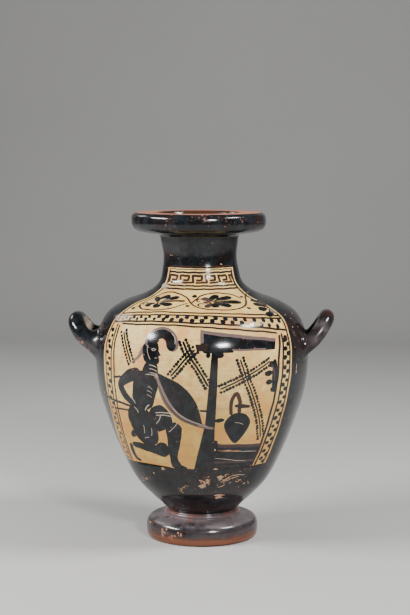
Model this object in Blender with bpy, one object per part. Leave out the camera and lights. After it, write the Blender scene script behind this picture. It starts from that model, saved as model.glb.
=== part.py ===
"""Black-figure hydria, a fired-clay water jar with two side handles and a tall back handle.

The jar is one fired piece. Its outside is a turned solid, the three handles are rods of clay
that are joined to it, and the hollow is cut out of them all, so no handle root shows inside.
Metres, +Z up. The origin is the centre of the foot's resting ring. The painted front faces -Y,
the side handles lie on the X axis and the back handle stands at +Y.
"""

import math

import bmesh
import bpy
from mathutils import Vector

MM = 0.001

# Whole jar
HEIGHT = 350 * MM
WALL = 5.5 * MM  # thickness of the thrown wall
SIDES = 48  # facets round the jar
NECK_LEAN = 3.8 * MM  # the neck sags this far towards -X at the lip
LEAN_FROM = 250 * MM  # height where the sag begins

# Outlines as (radius, height) in millimetres; a smooth curve passes through the stations
FOOT_JOINT = (38.0, 29.0)
NECK_TOP = (41.6, 322.0)
BODY = [
    FOOT_JOINT,
    (55.0, 45.0),
    (72.0, 64.0),
    (87.0, 93.0),
    (101.0, 129.0),
    (111.0, 163.0),
    (114.7, 202.0),  # belly
    (113.5, 224.0),
    (106.0, 243.0),  # turn of the shoulder
    (88.5, 255.4),
    (64.0, 265.0),
    (47.5, 277.0),  # base of the neck
    (41.0, 291.0),
    (39.1, 304.0),  # waist of the neck
    NECK_TOP,
]
LIP_UNDERSIDE = [NECK_TOP, (47.0, 326.6), (56.0, 328.2), (64.0, 330.0)]
LIP_EDGE = [(64.0, 330.0), (68.4, 333.0), (70.6, 337.5), (71.0, 342.0), (70.0, 347.2), (66.5, 350.0)]
FOOT_TOP = [(40.0, 25.4), (45.0, 22.6), (50.0, 20.9), (53.4, 19.8)]
FOOT_HOLLOW = [(44.0, 0.0), (40.0, 5.0), (31.0, 14.0), (17.0, 21.0), (0.0, 23.5)]
JAR_FLOOR = [(0.0, 31.0), (18.0, 31.4)]
MOUTH = [(36.4, 325.0), (39.0, 337.0), (44.0, 350.0)]
MOUTH_ABOVE = (45.0, 353.0)  # the hollow's cutter runs on past the lip

# Rounds of the foot, as (centre radius, centre height, half width, half height) in millimetres
JOINT_BEAD = (38.4, 27.2, 2.1, 1.9)
FOOT_ROUND = (50.0, 9.6, 10.3, 9.8)
FOOT_REST_RADIUS = 56.4

# Side handles
SIDE_ROD = 7.5 * MM  # radius of the clay rod
SIDE_HALF_SPAN = 25 * MM  # from the loop's middle to either limb
SIDE_ROOT = (103.0 * MM, 201.5 * MM)  # radius and height inside the wall
SIDE_BEND = (122.5 * MM, 218.5 * MM)
SIDE_TIP = (134.5 * MM, 239.5 * MM)
SIDE_SQUARENESS = 2.8  # 2 is a half ellipse, more is a squarer loop
SIDE_RINGS = 18

# Back handle, an oval rod from under the lip to the shoulder
BACK_ROD_WIDTH = 11 * MM  # half sizes of its section
BACK_ROD_DEPTH = 6.5 * MM
BACK_PATH = [
    (36 * MM, 310 * MM),
    (68 * MM, 329 * MM),
    (100 * MM, 308 * MM),
    (89 * MM, 249 * MM),
]
BACK_RINGS = 15

ROD_SIDES = 14
ROOT_FLARE = 5 * MM  # how much a rod widens where it is smoothed on to the wall
FLARE_REACH = 20 * MM


def clear_scene():
    """Remove every object that is in the file."""
    for old in list(bpy.data.objects):
        bpy.data.objects.remove(old, do_unlink=True)


def smooth_curve(stations, per_span):
    """Points on a Catmull-Rom curve with centripetal spacing through 2-D stations."""
    knots = [Vector(p) for p in stations]
    knots = [2 * knots[0] - knots[1]] + knots + [2 * knots[-1] - knots[-2]]
    points = []
    for a, b, c, d in zip(knots, knots[1:], knots[2:], knots[3:]):
        t1 = math.sqrt((b - a).length)
        t2 = t1 + math.sqrt((c - b).length)
        t3 = t2 + math.sqrt((d - c).length)
        for step in range(per_span):
            t = t1 + (t2 - t1) * step / per_span
            ab = a.lerp(b, t / t1)
            bc = b.lerp(c, (t - t1) / (t2 - t1))
            cd = c.lerp(d, (t - t2) / (t3 - t2))
            abc = ab.lerp(bc, t / t2)
            bcd = bc.lerp(cd, (t - t1) / (t3 - t1))
            points.append(abc.lerp(bcd, (t - t1) / (t2 - t1)))
    points.append(knots[-2])
    return points


def oval_arc(oval, start_deg, end_deg, steps):
    """Points on an ellipse, with angles measured from outwards (0) towards up (90)."""
    radius, height, half_width, half_height = oval
    arc = []
    for step in range(steps + 1):
        angle = math.radians(start_deg + (end_deg - start_deg) * step / steps)
        across = radius + half_width * math.cos(angle)
        up = height + half_height * math.sin(angle)
        arc.append(Vector((across, up)))
    return arc


def inset_curve(points, depth):
    """Points moved inwards from an upward-running outline by depth, square to it."""
    inset = []
    for before, here, after in zip(points, points[1:], points[2:]):
        along = (after - before).normalized()
        inset.append(here - depth * Vector((along.y, -along.x)))
    return inset


def leaned(point):
    """A point of the jar after its neck has sagged towards -X."""
    part_way = max(0.0, (point.z - LEAN_FROM) / (HEIGHT - LEAN_FROM))
    return Vector((point.x - NECK_LEAN * part_way, point.y, point.z))


def make_object(name, shape, helper=False):
    """Turn a bmesh into an object, shaded smooth, with its faces pointing out."""
    for vertex in shape.verts:
        vertex.co = leaned(vertex.co)
    bmesh.ops.recalc_face_normals(shape, faces=shape.faces)
    mesh = bpy.data.meshes.new(name)
    shape.to_mesh(mesh)
    shape.free()
    mesh.shade_smooth()
    mesh.set_sharp_from_angle(angle=math.radians(40))
    piece = bpy.data.objects.new(name, mesh)
    bpy.context.scene.collection.objects.link(piece)
    if helper:
        piece.hide_render = True
        piece.display_type = "WIRE"
    return piece


def turned(name, outline, helper=False):
    """A solid turned round the Z axis from an outline that starts and ends on the axis."""
    shape = bmesh.new()
    line = [shape.verts.new((p.x * MM, 0.0, p.y * MM)) for p in outline]
    for a, b in zip(line, line[1:]):
        shape.edges.new((a, b))
    bmesh.ops.spin(
        shape,
        geom=line + list(shape.edges),
        cent=(0.0, 0.0, 0.0),
        axis=(0.0, 0.0, 1.0),
        angle=math.tau,
        steps=SIDES,
    )
    bmesh.ops.remove_doubles(shape, verts=shape.verts, dist=0.01 * MM)
    return make_object(name, shape, helper)


def rod(name, path, flats, half_width, half_depth):
    """A closed rod along a path; flats holds the direction square to the path at each point.

    The section is an oval, half_depth along the flats and half_width across them. At each
    end it widens by ROOT_FLARE, fading to nothing FLARE_REACH away.
    """
    lengths = [0.0]
    for a, b in zip(path, path[1:]):
        lengths.append(lengths[-1] + (b - a).length)
    shape = bmesh.new()
    rings = []
    for i, centre in enumerate(path):
        along = (path[min(i + 1, len(path) - 1)] - path[max(i - 1, 0)]).normalized()
        sideways = along.cross(flats[i])
        nearest = min(lengths[i], lengths[-1] - lengths[i])
        flare = ROOT_FLARE * max(0.0, 1.0 - nearest / FLARE_REACH) ** 2
        ring = []
        for side in range(ROD_SIDES):
            turn = math.tau * side / ROD_SIDES
            offset = sideways * math.cos(turn) * (half_width + flare)
            offset += flats[i] * math.sin(turn) * (half_depth + flare)
            ring.append(shape.verts.new(centre + offset))
        rings.append(ring)
    for ring, following in zip(rings, rings[1:]):
        for side in range(ROD_SIDES):
            after = (side + 1) % ROD_SIDES
            shape.faces.new((ring[side], ring[after], following[after], following[side]))
    shape.faces.new(rings[0])
    shape.faces.new(list(reversed(rings[-1])))
    return make_object(name, shape, helper=True)


def side_handle(name, side):
    """The loop on one side: its limbs run outwards and up, and it bends upwards to its tip."""
    path = []
    flats = []
    root, bend, tip = Vector(SIDE_ROOT), Vector(SIDE_BEND), Vector(SIDE_TIP)
    for step in range(SIDE_RINGS + 1):
        turn = math.pi * step / SIDE_RINGS
        across = abs(math.cos(turn)) ** (2 / SIDE_SQUARENESS) * math.copysign(1, math.cos(turn))
        out = max(0.0, math.sin(turn)) ** (2 / SIDE_SQUARENESS)
        here = root.lerp(bend, out).lerp(bend.lerp(tip, out), out)
        slope = (bend - root).lerp(tip - bend, out).normalized()
        path.append(Vector((side * here.x, SIDE_HALF_SPAN * across, here.y)))
        flats.append(Vector((-side * slope.y, 0.0, slope.x)))
    return rod(name, path, flats, SIDE_ROD, SIDE_ROD)


def back_handle(name):
    """The tall handle: a cubic Bezier curve from the neck, out and down to the shoulder."""
    a, b, c, d = (Vector(p) for p in BACK_PATH)
    path = []
    flats = []
    for step in range(BACK_RINGS + 1):
        t = step / BACK_RINGS
        here = a.lerp(b, t).lerp(b.lerp(c, t), t).lerp(b.lerp(c, t).lerp(c.lerp(d, t), t), t)
        slope = (b - a).lerp(c - b, t).lerp((c - b).lerp(d - c, t), t).normalized()
        path.append(Vector((0.0, here.x, here.y)))
        flats.append(Vector((0.0, -slope.y, slope.x)))
    return rod(name, path, flats, BACK_ROD_WIDTH, BACK_ROD_DEPTH)


def outer_outline():
    """The whole outside, from the middle of the hollow foot round to the middle of the mouth."""
    outline = list(reversed(smooth_curve(FOOT_HOLLOW, 1)))
    outline.append(Vector((FOOT_REST_RADIUS, 0.0)))
    outline += oval_arc(FOOT_ROUND, -50, 75, 7)
    outline += reversed(smooth_curve(FOOT_TOP, 1))
    outline += oval_arc(JOINT_BEAD, -40, 60, 2)
    outline += smooth_curve(BODY, 2)
    outline += smooth_curve(LIP_UNDERSIDE, 1)[1:]
    outline += smooth_curve(LIP_EDGE, 1)[1:]
    outline.append(Vector((0.0, HEIGHT / MM)))
    return outline


def hollow_outline():
    """The space inside, from the middle of the floor up the wall and out past the lip."""
    wall = inset_curve(smooth_curve(BODY, 2), WALL / MM)
    outline = smooth_curve(JAR_FLOOR, 1) + wall[:1] + wall[1::2]
    outline += smooth_curve(MOUTH, 1)
    outline.append(Vector(MOUTH_ABOVE))
    outline.append(Vector((0.0, MOUTH_ABOVE[1])))
    return outline


def fired_glaze():
    """Glossy black slip over orange clay."""
    material = bpy.data.materials.new("black_glazed_clay")
    material.use_nodes = True
    shader = material.node_tree.nodes["Principled BSDF"]
    shader.inputs["Base Color"].default_value = (0.030, 0.024, 0.021, 1.0)
    shader.inputs["Roughness"].default_value = 0.28
    shader.inputs["Metallic"].default_value = 0.0
    return material


def join(jar, tool, operation):
    """Add a Boolean step to the jar; the exact solver works on each tool in turn."""
    step = jar.modifiers.new(tool.name, "BOOLEAN")
    step.operation = operation
    step.solver = "EXACT"
    step.object = tool


def build():
    """Make the jar."""
    clear_scene()
    jar = turned("hydria", outer_outline())
    join(jar, side_handle("handle_right_rod", 1), "UNION")
    join(jar, side_handle("handle_left_rod", -1), "UNION")
    join(jar, back_handle("handle_back_rod"), "UNION")
    join(jar, turned("hollow", hollow_outline(), helper=True), "DIFFERENCE")
    jar.data.materials.append(fired_glaze())


build()
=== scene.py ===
"""Looks of a black-figure hydria: a fired-clay water jar painted with black gloss.

The jar's wall is rolled out flat, the painted outlines are laid on it in millimetres, and the sheet
is cut into triangles along every outline, so each painted edge is an edge of the mesh. The sheet is
then rolled back on to the turned outline of the jar. Metres, +Z up, painted front towards -Y.
"""

from __future__ import annotations

import logging
import math
from dataclasses import dataclass, field
from enum import Enum
from typing import Any, Callable, Sequence

import bpy
import numpy as np
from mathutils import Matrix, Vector
from mathutils.geometry import delaunay_2d_cdt

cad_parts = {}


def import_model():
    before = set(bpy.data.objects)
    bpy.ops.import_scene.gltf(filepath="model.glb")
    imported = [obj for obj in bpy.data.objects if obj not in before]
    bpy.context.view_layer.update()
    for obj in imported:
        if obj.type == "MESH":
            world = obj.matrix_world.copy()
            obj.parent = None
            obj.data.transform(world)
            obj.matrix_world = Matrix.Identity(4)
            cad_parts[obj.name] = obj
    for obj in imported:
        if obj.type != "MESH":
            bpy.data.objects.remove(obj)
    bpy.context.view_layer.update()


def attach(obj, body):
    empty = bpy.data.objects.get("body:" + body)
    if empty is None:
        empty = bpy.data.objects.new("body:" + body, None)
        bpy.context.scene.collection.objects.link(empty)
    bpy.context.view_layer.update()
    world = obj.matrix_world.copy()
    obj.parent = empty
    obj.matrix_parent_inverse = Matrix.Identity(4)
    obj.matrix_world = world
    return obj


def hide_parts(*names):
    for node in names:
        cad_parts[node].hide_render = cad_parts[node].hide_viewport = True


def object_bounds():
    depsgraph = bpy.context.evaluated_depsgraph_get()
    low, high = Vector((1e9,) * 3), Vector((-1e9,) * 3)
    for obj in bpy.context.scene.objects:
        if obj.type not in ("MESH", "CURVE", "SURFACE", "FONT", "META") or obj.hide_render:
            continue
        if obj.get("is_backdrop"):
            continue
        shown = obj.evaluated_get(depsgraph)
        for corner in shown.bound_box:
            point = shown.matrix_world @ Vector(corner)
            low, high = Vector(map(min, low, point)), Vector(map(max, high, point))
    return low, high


log = logging.getLogger("hydria")

Array = np.ndarray
Pair = tuple[float, float]
Place = tuple[float, float, float]
Spot = tuple[Pair, float, float]
Course = Sequence[Pair]
Line = Course | Array
Widths = float | Sequence[float]

MM = 0.001
JAR_NODE = "hydria"
CAD_BODY = "root"

# The turned jar, as (radius, height) in millimetres
BELLY = 114.7
FOOT_JOINT = (36.6, 29)
NECK_TOP = (41.6, 322)
BODY = (
    FOOT_JOINT, (55, 45), (72, 64), (87, 93), (101, 129), (111, 163), (BELLY, 202), (113.5, 224),
    (106, 243), (88.5, 255.4), (64, 265), (47.5, 277), (41, 291), (39.1, 304), NECK_TOP,
)
LIP_HEIGHT = 350.0
LIP_UNDERSIDE = (NECK_TOP, (42.5, 325.8), (45.6, 327.6), (55, 328.4), (64, 330))
LIP_EDGE = ((64, 330), (69, 332.8), (71.5, 337.4), (72, 342), (71, 347.2), (67.3, LIP_HEIGHT))
LIP_TOP = ((62, LIP_HEIGHT), (56, LIP_HEIGHT), (50, LIP_HEIGHT))
MOUTH = ((44, LIP_HEIGHT), (39, 337), (36.4, 325))
JAR_FLOOR = ((10, 31.2), (0, 31))
WALL = 5.5
FOOT_HOLLOW = ((0, 23.5), (17, 21), (31, 14), (40, 5), (44, 0))
STANDING_RING = (50, 0)
FOOT_SIDE = (
    (57.2, 0), (58.8, 1.2), (59.9, 4), (60.3, 8.5), (60.2, 13), (59.3, 16.8), (57.4, 19.8), (54.4, 21.6),
    (50, 22.4), (44, 23.4), (39.6, 25),
)
JOINT_BEAD = (37.2, 26.6, 3.2, 2.6)

# How far the thrown wall settled inwards, as (height, inwards), and how far down for each millimetre in
SETTLED = (
    (29, 0), (33, 1.2), (39, 2.4), (48, 2.3), (64, 1.6), (93, 1), (129, 0.5), (163, 0.2), (190, 0.3),
    (210, 1), (224, 2.2), (235, 3.5), (246, 4.3), (256, 4.4), (265, 4.6), (271, 4.5), (278, 3.1),
    (285, 1.4), (292, 0.3), (304, 0), (322, 0),
)
SETTLED_FALL = 0.106

# Where the wall settled, the picture opens out sideways: in full up to this turn, less over the next stretch
FRONT_TURN = 0.95
FRONT_FADE = 1.2

# The neck sags sideways in a straight line, from a height on, with an easy start
NECK_LEAN = 3.8
LEAN_FROM = 250.0
LEAN_REACH = 100.0
LEAN_EASE = 0.1

# The mesh: columns round the jar, the rise of a row, and the decimals to which points that meet agree
COLUMNS = 180
LATTICE_RISE = 3.2
MERGE_DECIMALS = 3


class Paint(Enum):
    """What lies on the clay, as shares of gloss, wash, purple, cut line and bare clay."""

    CLAY = (0.0, 0.0, 0.0, 0.0, 0.0)
    GLOSS = (1.0, 0.0, 0.0, 0.0, 0.0)
    WASH = (0.0, 1.0, 0.0, 0.0, 0.0)
    THIN = (0.72, 1.0, 0.0, 0.0, 0.0)
    TENDRIL = (0.35, 1.0, 0.0, 0.0, 0.0)
    TINGED = (0.80, 1.0, 0.35, 0.0, 0.0)
    EDGED = (1.0, 0.0, 1.0, 0.10, 0.0)
    ROSE = (1.0, 0.0, 1.0, 0.20, 0.0)
    PURPLE = (1.0, 0.0, 1.0, 0.0, 0.0)
    CUT = (1.0, 0.0, 0.0, 1.0, 0.0)
    BARE = (0.0, 0.0, 0.0, 0.0, 1.0)
    CHIP = (0.0, 0.0, 0.0, 0.3, 0.7)
    RUBBED = (0.0, 0.0, 0.12, 1.0, 0.6)


LAYERS = ("gloss", "wash", "purple", "cut", "bare")


def smooth_curve(stations: Line, per_span: int = 12, closed: bool = False) -> Array:
    """Points on a centripetal Catmull-Rom curve: five linear blends between neighbouring stations.

    Args:
        stations: places it passes through.
        per_span: points on each span.
        closed: whether its ends join.

    Returns:
        An array of points, one row each.
    """
    knots = np.asarray(stations, float)
    if closed:
        knots = np.vstack((knots[-1], knots, knots[:2]))
    else:
        knots = np.vstack((2 * knots[0] - knots[1], knots, 2 * knots[-1] - knots[-2]))
    count = len(knots) - 3
    a, b, c, d = (knots[i : i + count, None, :] for i in range(4))
    t1 = np.sqrt(np.linalg.norm(b - a, axis=-1, keepdims=True))
    t2 = t1 + np.sqrt(np.linalg.norm(c - b, axis=-1, keepdims=True))
    t3 = t2 + np.sqrt(np.linalg.norm(d - c, axis=-1, keepdims=True))
    t = t1 + (t2 - t1) * np.linspace(0.0, 1.0, per_span, endpoint=False)[None, :, None]
    ab = a + (b - a) * t / t1
    bc = b + (c - b) * (t - t1) / (t2 - t1)
    cd = c + (d - c) * (t - t2) / (t3 - t2)
    abc = ab + (bc - ab) * t / t2
    bcd = bc + (cd - bc) * (t - t1) / (t3 - t1)
    points = (abc + (bcd - abc) * (t - t1) / (t2 - t1)).reshape(-1, knots.shape[1])
    return points if closed else np.vstack((points, knots[-2]))


def oval_arc(oval: tuple[float, float, float, float], start_deg: float, end_deg: float, steps: int) -> Array:
    """Points on an ellipse: centre plus half sizes times the cosine and sine of the angle.

    Args:
        oval: the centre's two numbers and the two half sizes.
        start_deg: angle of the first point.
        end_deg: angle of the last point.
        steps: spans between them.

    Returns:
        The points, one row each.
    """
    centre, half = np.array(oval[:2]), np.array(oval[2:])
    angle = np.radians(np.linspace(start_deg, end_deg, steps + 1))
    return centre + half * np.column_stack((np.cos(angle), np.sin(angle)))


def lengths(points: Array) -> Array:
    """Distance along a line of points, from its start to each point."""
    return np.concatenate(([0.0], np.cumsum(np.linalg.norm(np.diff(points, axis=0), axis=1))))


def unit(vectors: Array) -> Array:
    """The same directions, each with a length of one."""
    return vectors / np.linalg.norm(vectors, axis=-1, keepdims=True)


def resample(points: Array, step: float) -> Array:
    """The same line with points at even distances.

    Args:
        points: the line.
        step: about how far apart they come.

    Returns:
        The new points.
    """
    run = lengths(points)
    marks = np.linspace(0.0, run[-1], max(3, math.ceil(run[-1] / step) + 1))
    return np.column_stack([np.interp(marks, run, column) for column in points.T])


def lean(height: Array) -> Array:
    """How far the neck sags towards -X: nothing low down, easing into a straight line."""
    part = (height - LEAN_FROM) / LEAN_REACH
    return NECK_LEAN * (part + np.sqrt(part**2 + LEAN_EASE**2)) / 2


def sagged(points: Array) -> Array:
    """Points of the true jar moved as its neck leans.

    Args:
        points: points of the upright jar.

    Returns:
        Where they end up.
    """
    moved = points.copy()
    moved[:, 0] -= lean(points[:, 2])
    return moved


class Wall:
    """The outside of the jar, rolled out flat.

    A place is (across, up) in millimetres. Across runs round the belly from the middle of the front,
    and up runs along the outline from the foot joint.
    """

    def __init__(self) -> None:
        """Measure the outline as thrown, then let it settle; up still counts along the thrown one."""
        thrown = smooth_curve(BODY, 40)
        self.run = lengths(thrown)
        settled = smooth_curve(SETTLED, 8)
        inwards = np.interp(thrown[:, 1], settled[:, 0], settled[:, 1])
        self.line = thrown - np.column_stack((inwards, SETTLED_FALL * inwards))
        self.shrunk = thrown[:, 0] / self.line[:, 0] - 1.0
        self.slope = unit(np.gradient(self.line, self.run, axis=0))
        self.height = float(self.run[-1])
        self.half = math.pi * BELLY

    def squeeze(self, up: Array) -> Array:
        """How much of a millimetre across is left at that height: its radius over the belly's."""
        return np.interp(up, self.run, self.line[:, 0]) / BELLY

    def place(self, across: Array, up: Array, depth: float = 0.0) -> tuple[Array, Array]:
        """Roll flat places back on to the jar.

        The point is radius times (sine, minus cosine) of the turn, at its height, less depth along
        the normal; the normal is the outline's slope turned a quarter, carried round.

        Args:
            across: distances round the belly.
            up: distances along the outline.
            depth: how far under the surface.

        Returns:
            The points and their unit normals.
        """
        turn = np.asarray(across) / BELLY
        turn = turn + np.interp(up, self.run, self.shrunk) * self.opened(turn)
        radius = np.interp(up, self.run, self.line[:, 0])
        height = np.interp(up, self.run, self.line[:, 1])
        out = np.interp(up, self.run, self.slope[:, 1])
        rise = -np.interp(up, self.run, self.slope[:, 0])
        normals = np.column_stack((out * np.sin(turn), -out * np.cos(turn), rise))
        points = np.column_stack((radius * np.sin(turn), -radius * np.cos(turn), height))
        normals[:, 2] += (lean(height + 0.5) - lean(height - 0.5)) * normals[:, 0]
        normals = unit(normals)
        return sagged(points) - depth * normals, normals

    @staticmethod
    def opened(turn: Array) -> Array:
        """How fast a turn opens as the wall shrinks, so that the front still looks as it was drawn.

        The tangent of the turn, held past FRONT_TURN and faded out by a smooth step.

        Args:
            turn: turns from the front, in radians.

        Returns:
            The change of each turn for a shrinkage of one.
        """
        size = np.abs(turn)
        fade = np.clip((size - FRONT_TURN) / FRONT_FADE, 0.0, 1.0)
        return np.sign(turn) * np.tan(np.minimum(size, FRONT_TURN)) * (1 - fade * fade * (3 - 2 * fade))

    def up_at(self, height: float) -> float:
        """Distance along the outline at a height."""
        return float(np.interp(height, self.line[:, 1], self.run))


@dataclass
class Surface:
    """Triangles of one skin with their paint, and the normals that are known."""

    points: Array
    triangles: Array
    paint: Array
    normals: Array

    @staticmethod
    def grid(points: Array, paint: Array) -> "Surface":
        """Triangles between the rows of a grid: each cell's two halves, with its row's paint.

        Args:
            points: rows by columns by 3.
            paint: rows less one, by columns less one, by layers.

        Returns:
            The skin.
        """
        rows, columns = points.shape[:2]
        first = (np.arange(rows - 1)[:, None] * columns + np.arange(columns - 1)[None, :]).ravel()
        lower = np.column_stack((first, first + 1, first + columns + 1))
        upper = np.column_stack((first, first + columns + 1, first + columns))
        flat = paint.reshape(-1, len(LAYERS))
        return Surface(
            points.reshape(-1, 3),
            np.vstack((lower, upper)),
            np.vstack((flat, flat)),
            np.zeros((rows * columns, 3)),
        )

    @staticmethod
    def joined(skins: Sequence["Surface"]) -> "Surface":
        """All the skins as one, with points that meet made one point.

        Args:
            skins: the skins.

        Returns:
            One skin.
        """
        starts = np.cumsum([0] + [len(skin.points) for skin in skins[:-1]])
        points = np.vstack([skin.points for skin in skins])
        triangles = np.vstack([skin.triangles + start for skin, start in zip(skins, starts)])
        paint = np.vstack([skin.paint for skin in skins])
        normals = np.vstack([skin.normals for skin in skins])
        keys = np.round(points, MERGE_DECIMALS) + 0.0
        _, first, place = np.unique(keys, axis=0, return_index=True, return_inverse=True)
        triangles = place.reshape(-1)[triangles]
        whole = (
            (triangles[:, 0] != triangles[:, 1])
            & (triangles[:, 1] != triangles[:, 2])
            & (triangles[:, 2] != triangles[:, 0])
        )
        return Surface(points[first], triangles[whole], paint[whole], normals[first])

    def make(self, name: str, material: bpy.types.Material, crease_deg: float) -> bpy.types.Object:
        """Put the skin into a mesh in metres, with one face attribute for each layer of paint.

        Args:
            name: the piece's name.
            material: its finish.
            crease_deg: the angle past which an edge stays sharp.

        Returns:
            The piece.
        """
        mesh = bpy.data.meshes.new(name)
        count = len(self.triangles)
        mesh.vertices.add(len(self.points))
        mesh.loops.add(3 * count)
        mesh.polygons.add(count)
        mesh.vertices.foreach_set("co", (self.points * MM).astype(np.float32).ravel())
        mesh.loops.foreach_set("vertex_index", self.triangles.astype(np.int32).ravel())
        mesh.polygons.foreach_set("loop_start", np.arange(0, 3 * count, 3, dtype=np.int32))
        mesh.update(calc_edges=True)
        mesh.validate()
        for index, layer in enumerate(LAYERS):
            values = mesh.attributes.new(layer, "FLOAT", "FACE")
            values.data.foreach_set("value", self.paint[:, index].astype(np.float32))
        mesh.shade_smooth()
        mesh.set_sharp_from_angle(angle=math.radians(crease_deg))
        if self.normals.any():
            mesh.normals_split_custom_set_from_vertices(self.normals.tolist())
        mesh.materials.append(material)
        piece = bpy.data.objects.new(name, mesh)
        bpy.context.scene.collection.objects.link(piece)
        return piece


class Canvas:
    """Painted outlines on the rolled-out wall; each new one covers what lies under it."""

    LINE_STEP = 1.5
    FINE_STEP = 1.0
    WOBBLE = 0.2
    DOT_POINTS = 10
    MEET = 0.02
    LEAST_AREA = 1e-7
    EDGE_REACH = 1e-2
    NEAR_STEP = 0.7

    def __init__(self, wall: Wall, seed: int) -> None:
        """Start with no outlines and a fixed order of random draws.

        Args:
            wall: the wall it is rolled out from.
            seed: where the random draws start.
        """
        self.wall = wall
        self.shapes: list[tuple[Array, Paint]] = []
        self.random = np.random.default_rng(seed)

    def true_scale(self, up: Array) -> Array:
        """Real millimetres for each millimetre across and up, one row for each place."""
        return np.column_stack((self.wall.squeeze(up), np.ones(len(up))))

    def square_to(self, line: Array) -> Array:
        """The true direction square to a line, at each of its points."""
        along = np.gradient(line, axis=0) * self.true_scale(line[:, 1])
        return unit(np.column_stack((-along[:, 1], along[:, 0])))

    def fill(self, outline: Line, paint: Paint) -> None:
        """Cover the inside of a closed outline."""
        self.shapes.append((np.asarray(outline, float), paint))

    def blob(self, stations: Line, paint: Paint, per_span: int = 7) -> None:
        """Cover the inside of a smooth closed curve through stations."""
        self.fill(smooth_curve(stations, per_span, closed=True), paint)

    def stroke(self, line: Line, widths: Widths, paint: Paint, step: float = LINE_STEP) -> None:
        """Draw along a line: points are set off to both sides by half the width, square to the line.

        Near each end the width closes as a circle does.

        Args:
            line: the middle of the stroke.
            widths: its width, or widths from start to end.
            paint: what it is drawn in.
            step: distance between points.
        """
        line = resample(np.asarray(line, float), step)
        scale = self.true_scale(line[:, 1])
        run = lengths(line * scale)
        marks = np.atleast_1d(np.asarray(widths, float)) / 2
        half = np.interp(run / run[-1], np.linspace(0.0, 1.0, len(marks)), marks)
        near = np.minimum(run, run[-1] - run) / half
        half *= np.sqrt(np.clip(1 - (1 - np.minimum(near, 1.0)) ** 2, 0.1, 1.0))
        offset = self.square_to(line) * half[:, None] / scale
        self.fill(np.vstack((line + offset, (line - offset)[::-1])), paint)

    def limb(self, stations: Line, widths: Widths, paint: Paint = Paint.GLOSS) -> None:
        """A stroke along a smooth curve through stations, with a width for each station."""
        self.stroke(smooth_curve(stations, 8), widths, paint, step=1.2)

    def dot(self, centre: Pair, half_across: float, half_up: float, paint: Paint, rough: float = 0.1) -> None:
        """An uneven oval: its radius varies a little from point to point.

        Args:
            centre: its middle on the sheet.
            half_across: half its width, in millimetres.
            half_up: half its height.
            paint: what it is drawn in.
            rough: how much its radius varies.
        """
        angle = np.linspace(0.0, math.tau, self.DOT_POINTS, endpoint=False)
        reach = 1 + rough * self.random.uniform(-1, 1, len(angle))
        squeeze = float(self.wall.squeeze(np.array([centre[1]]))[0])
        oval = np.column_stack((np.cos(angle) * half_across / squeeze, np.sin(angle) * half_up))
        self.fill(np.array(centre) + oval * reach[:, None], paint)

    def wobbled(self, outline: Array) -> Array:
        """An outline with a hand's unsteadiness: two slow waves added across and up.

        Args:
            outline: the steady outline.

        Returns:
            The unsteady one.
        """
        x, y = outline.T
        shift = np.column_stack(
            (
                np.sin(0.21 * y + 0.07 * x + 0.4) + 0.5 * np.sin(0.53 * y - 0.11 * x),
                np.sin(0.19 * x - 0.09 * y + 1.1) + 0.5 * np.sin(0.47 * x + 0.13 * y),
            )
        )
        return outline + self.WOBBLE * shift

    def rules(self) -> tuple[Array, Array]:
        """The columns and rows that the sheet is ruled in.

        Returns:
            Where the columns and the rows stand.
        """
        rows = round(self.wall.height / LATTICE_RISE)
        half = self.wall.half
        return np.linspace(-half, half, COLUMNS + 1), np.linspace(0.0, self.wall.height, rows + 1)

    def cells(self, places: Array) -> Array:
        """The millimetre cell that each place lies in, with one spare cell round the sheet."""
        return (places + (self.wall.half, 0.0)).astype(int) + 1

    def lattice(self, outlines: Sequence[Array]) -> Array:
        """Even places over the whole sheet, left out where an outline passes close by.

        Args:
            outlines: every outline on the sheet.

        Returns:
            The places.
        """
        columns, ups = self.rules()
        shift = (columns[1] - columns[0]) / 2
        across, up = (grid.ravel() for grid in np.meshgrid(columns[1:-1], ups[1:-1]))
        odd = np.repeat(np.arange(len(ups) - 2) % 2, COLUMNS - 1)
        inner = np.column_stack((across + odd * shift, up))
        inner = inner[np.abs(inner[:, 0]) < self.wall.half - shift / 2]
        size = np.array((2 * self.wall.half, self.wall.height)).astype(int) + 4
        near = np.zeros(size, bool)
        for outline in outlines:
            ring = self.cells(resample(np.vstack((outline, outline[:1])), self.NEAR_STEP))
            for step in np.ndindex(3, 3):
                near[tuple(np.clip(ring + step - (1, 1), 0, size - 1).T)] = True
        return inner[~near[tuple(self.cells(inner).T)]]

    def border(self) -> Array:
        """The sheet's own edge, as a closed ring of places at the lattice's spacing.

        Returns:
            The places, anticlockwise.
        """
        columns, ups = self.rules()
        bottom, top = (np.column_stack((columns, np.full_like(columns, up))) for up in ups[[0, -1]])
        left, right = (np.column_stack((np.full_like(ups, across), ups)) for across in columns[[0, -1]])
        return np.vstack((bottom[:-1], right[:-1], top[:0:-1], left[:0:-1]))

    @staticmethod
    def inside(outline: Array, places: Array) -> Array:
        """Whether each place lies inside: the outline's signed crossings to its right don't cancel.

        Args:
            outline: a closed outline.
            places: the places to tell.

        Returns:
            True for each place inside.
        """
        result = np.zeros(len(places), bool)
        low, high = outline.min(0), outline.max(0)
        near = np.flatnonzero(((places >= low) & (places <= high)).all(1))
        start, end = outline, np.roll(outline, -1, axis=0)
        for chunk in np.array_split(near, len(near) // 4000 + 1):
            x, y = places[chunk, 0][:, None], places[chunk, 1][:, None]
            width, rise = (end - start).T
            turn = width * (y - start[:, 1]) - (x - start[:, 0]) * rise
            rising = (start[:, 1] <= y) & (end[:, 1] > y) & (turn > 0)
            falling = (start[:, 1] > y) & (end[:, 1] <= y) & (turn < 0)
            result[chunk] = (rising.sum(1) - falling.sum(1)) != 0
        return result

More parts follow.
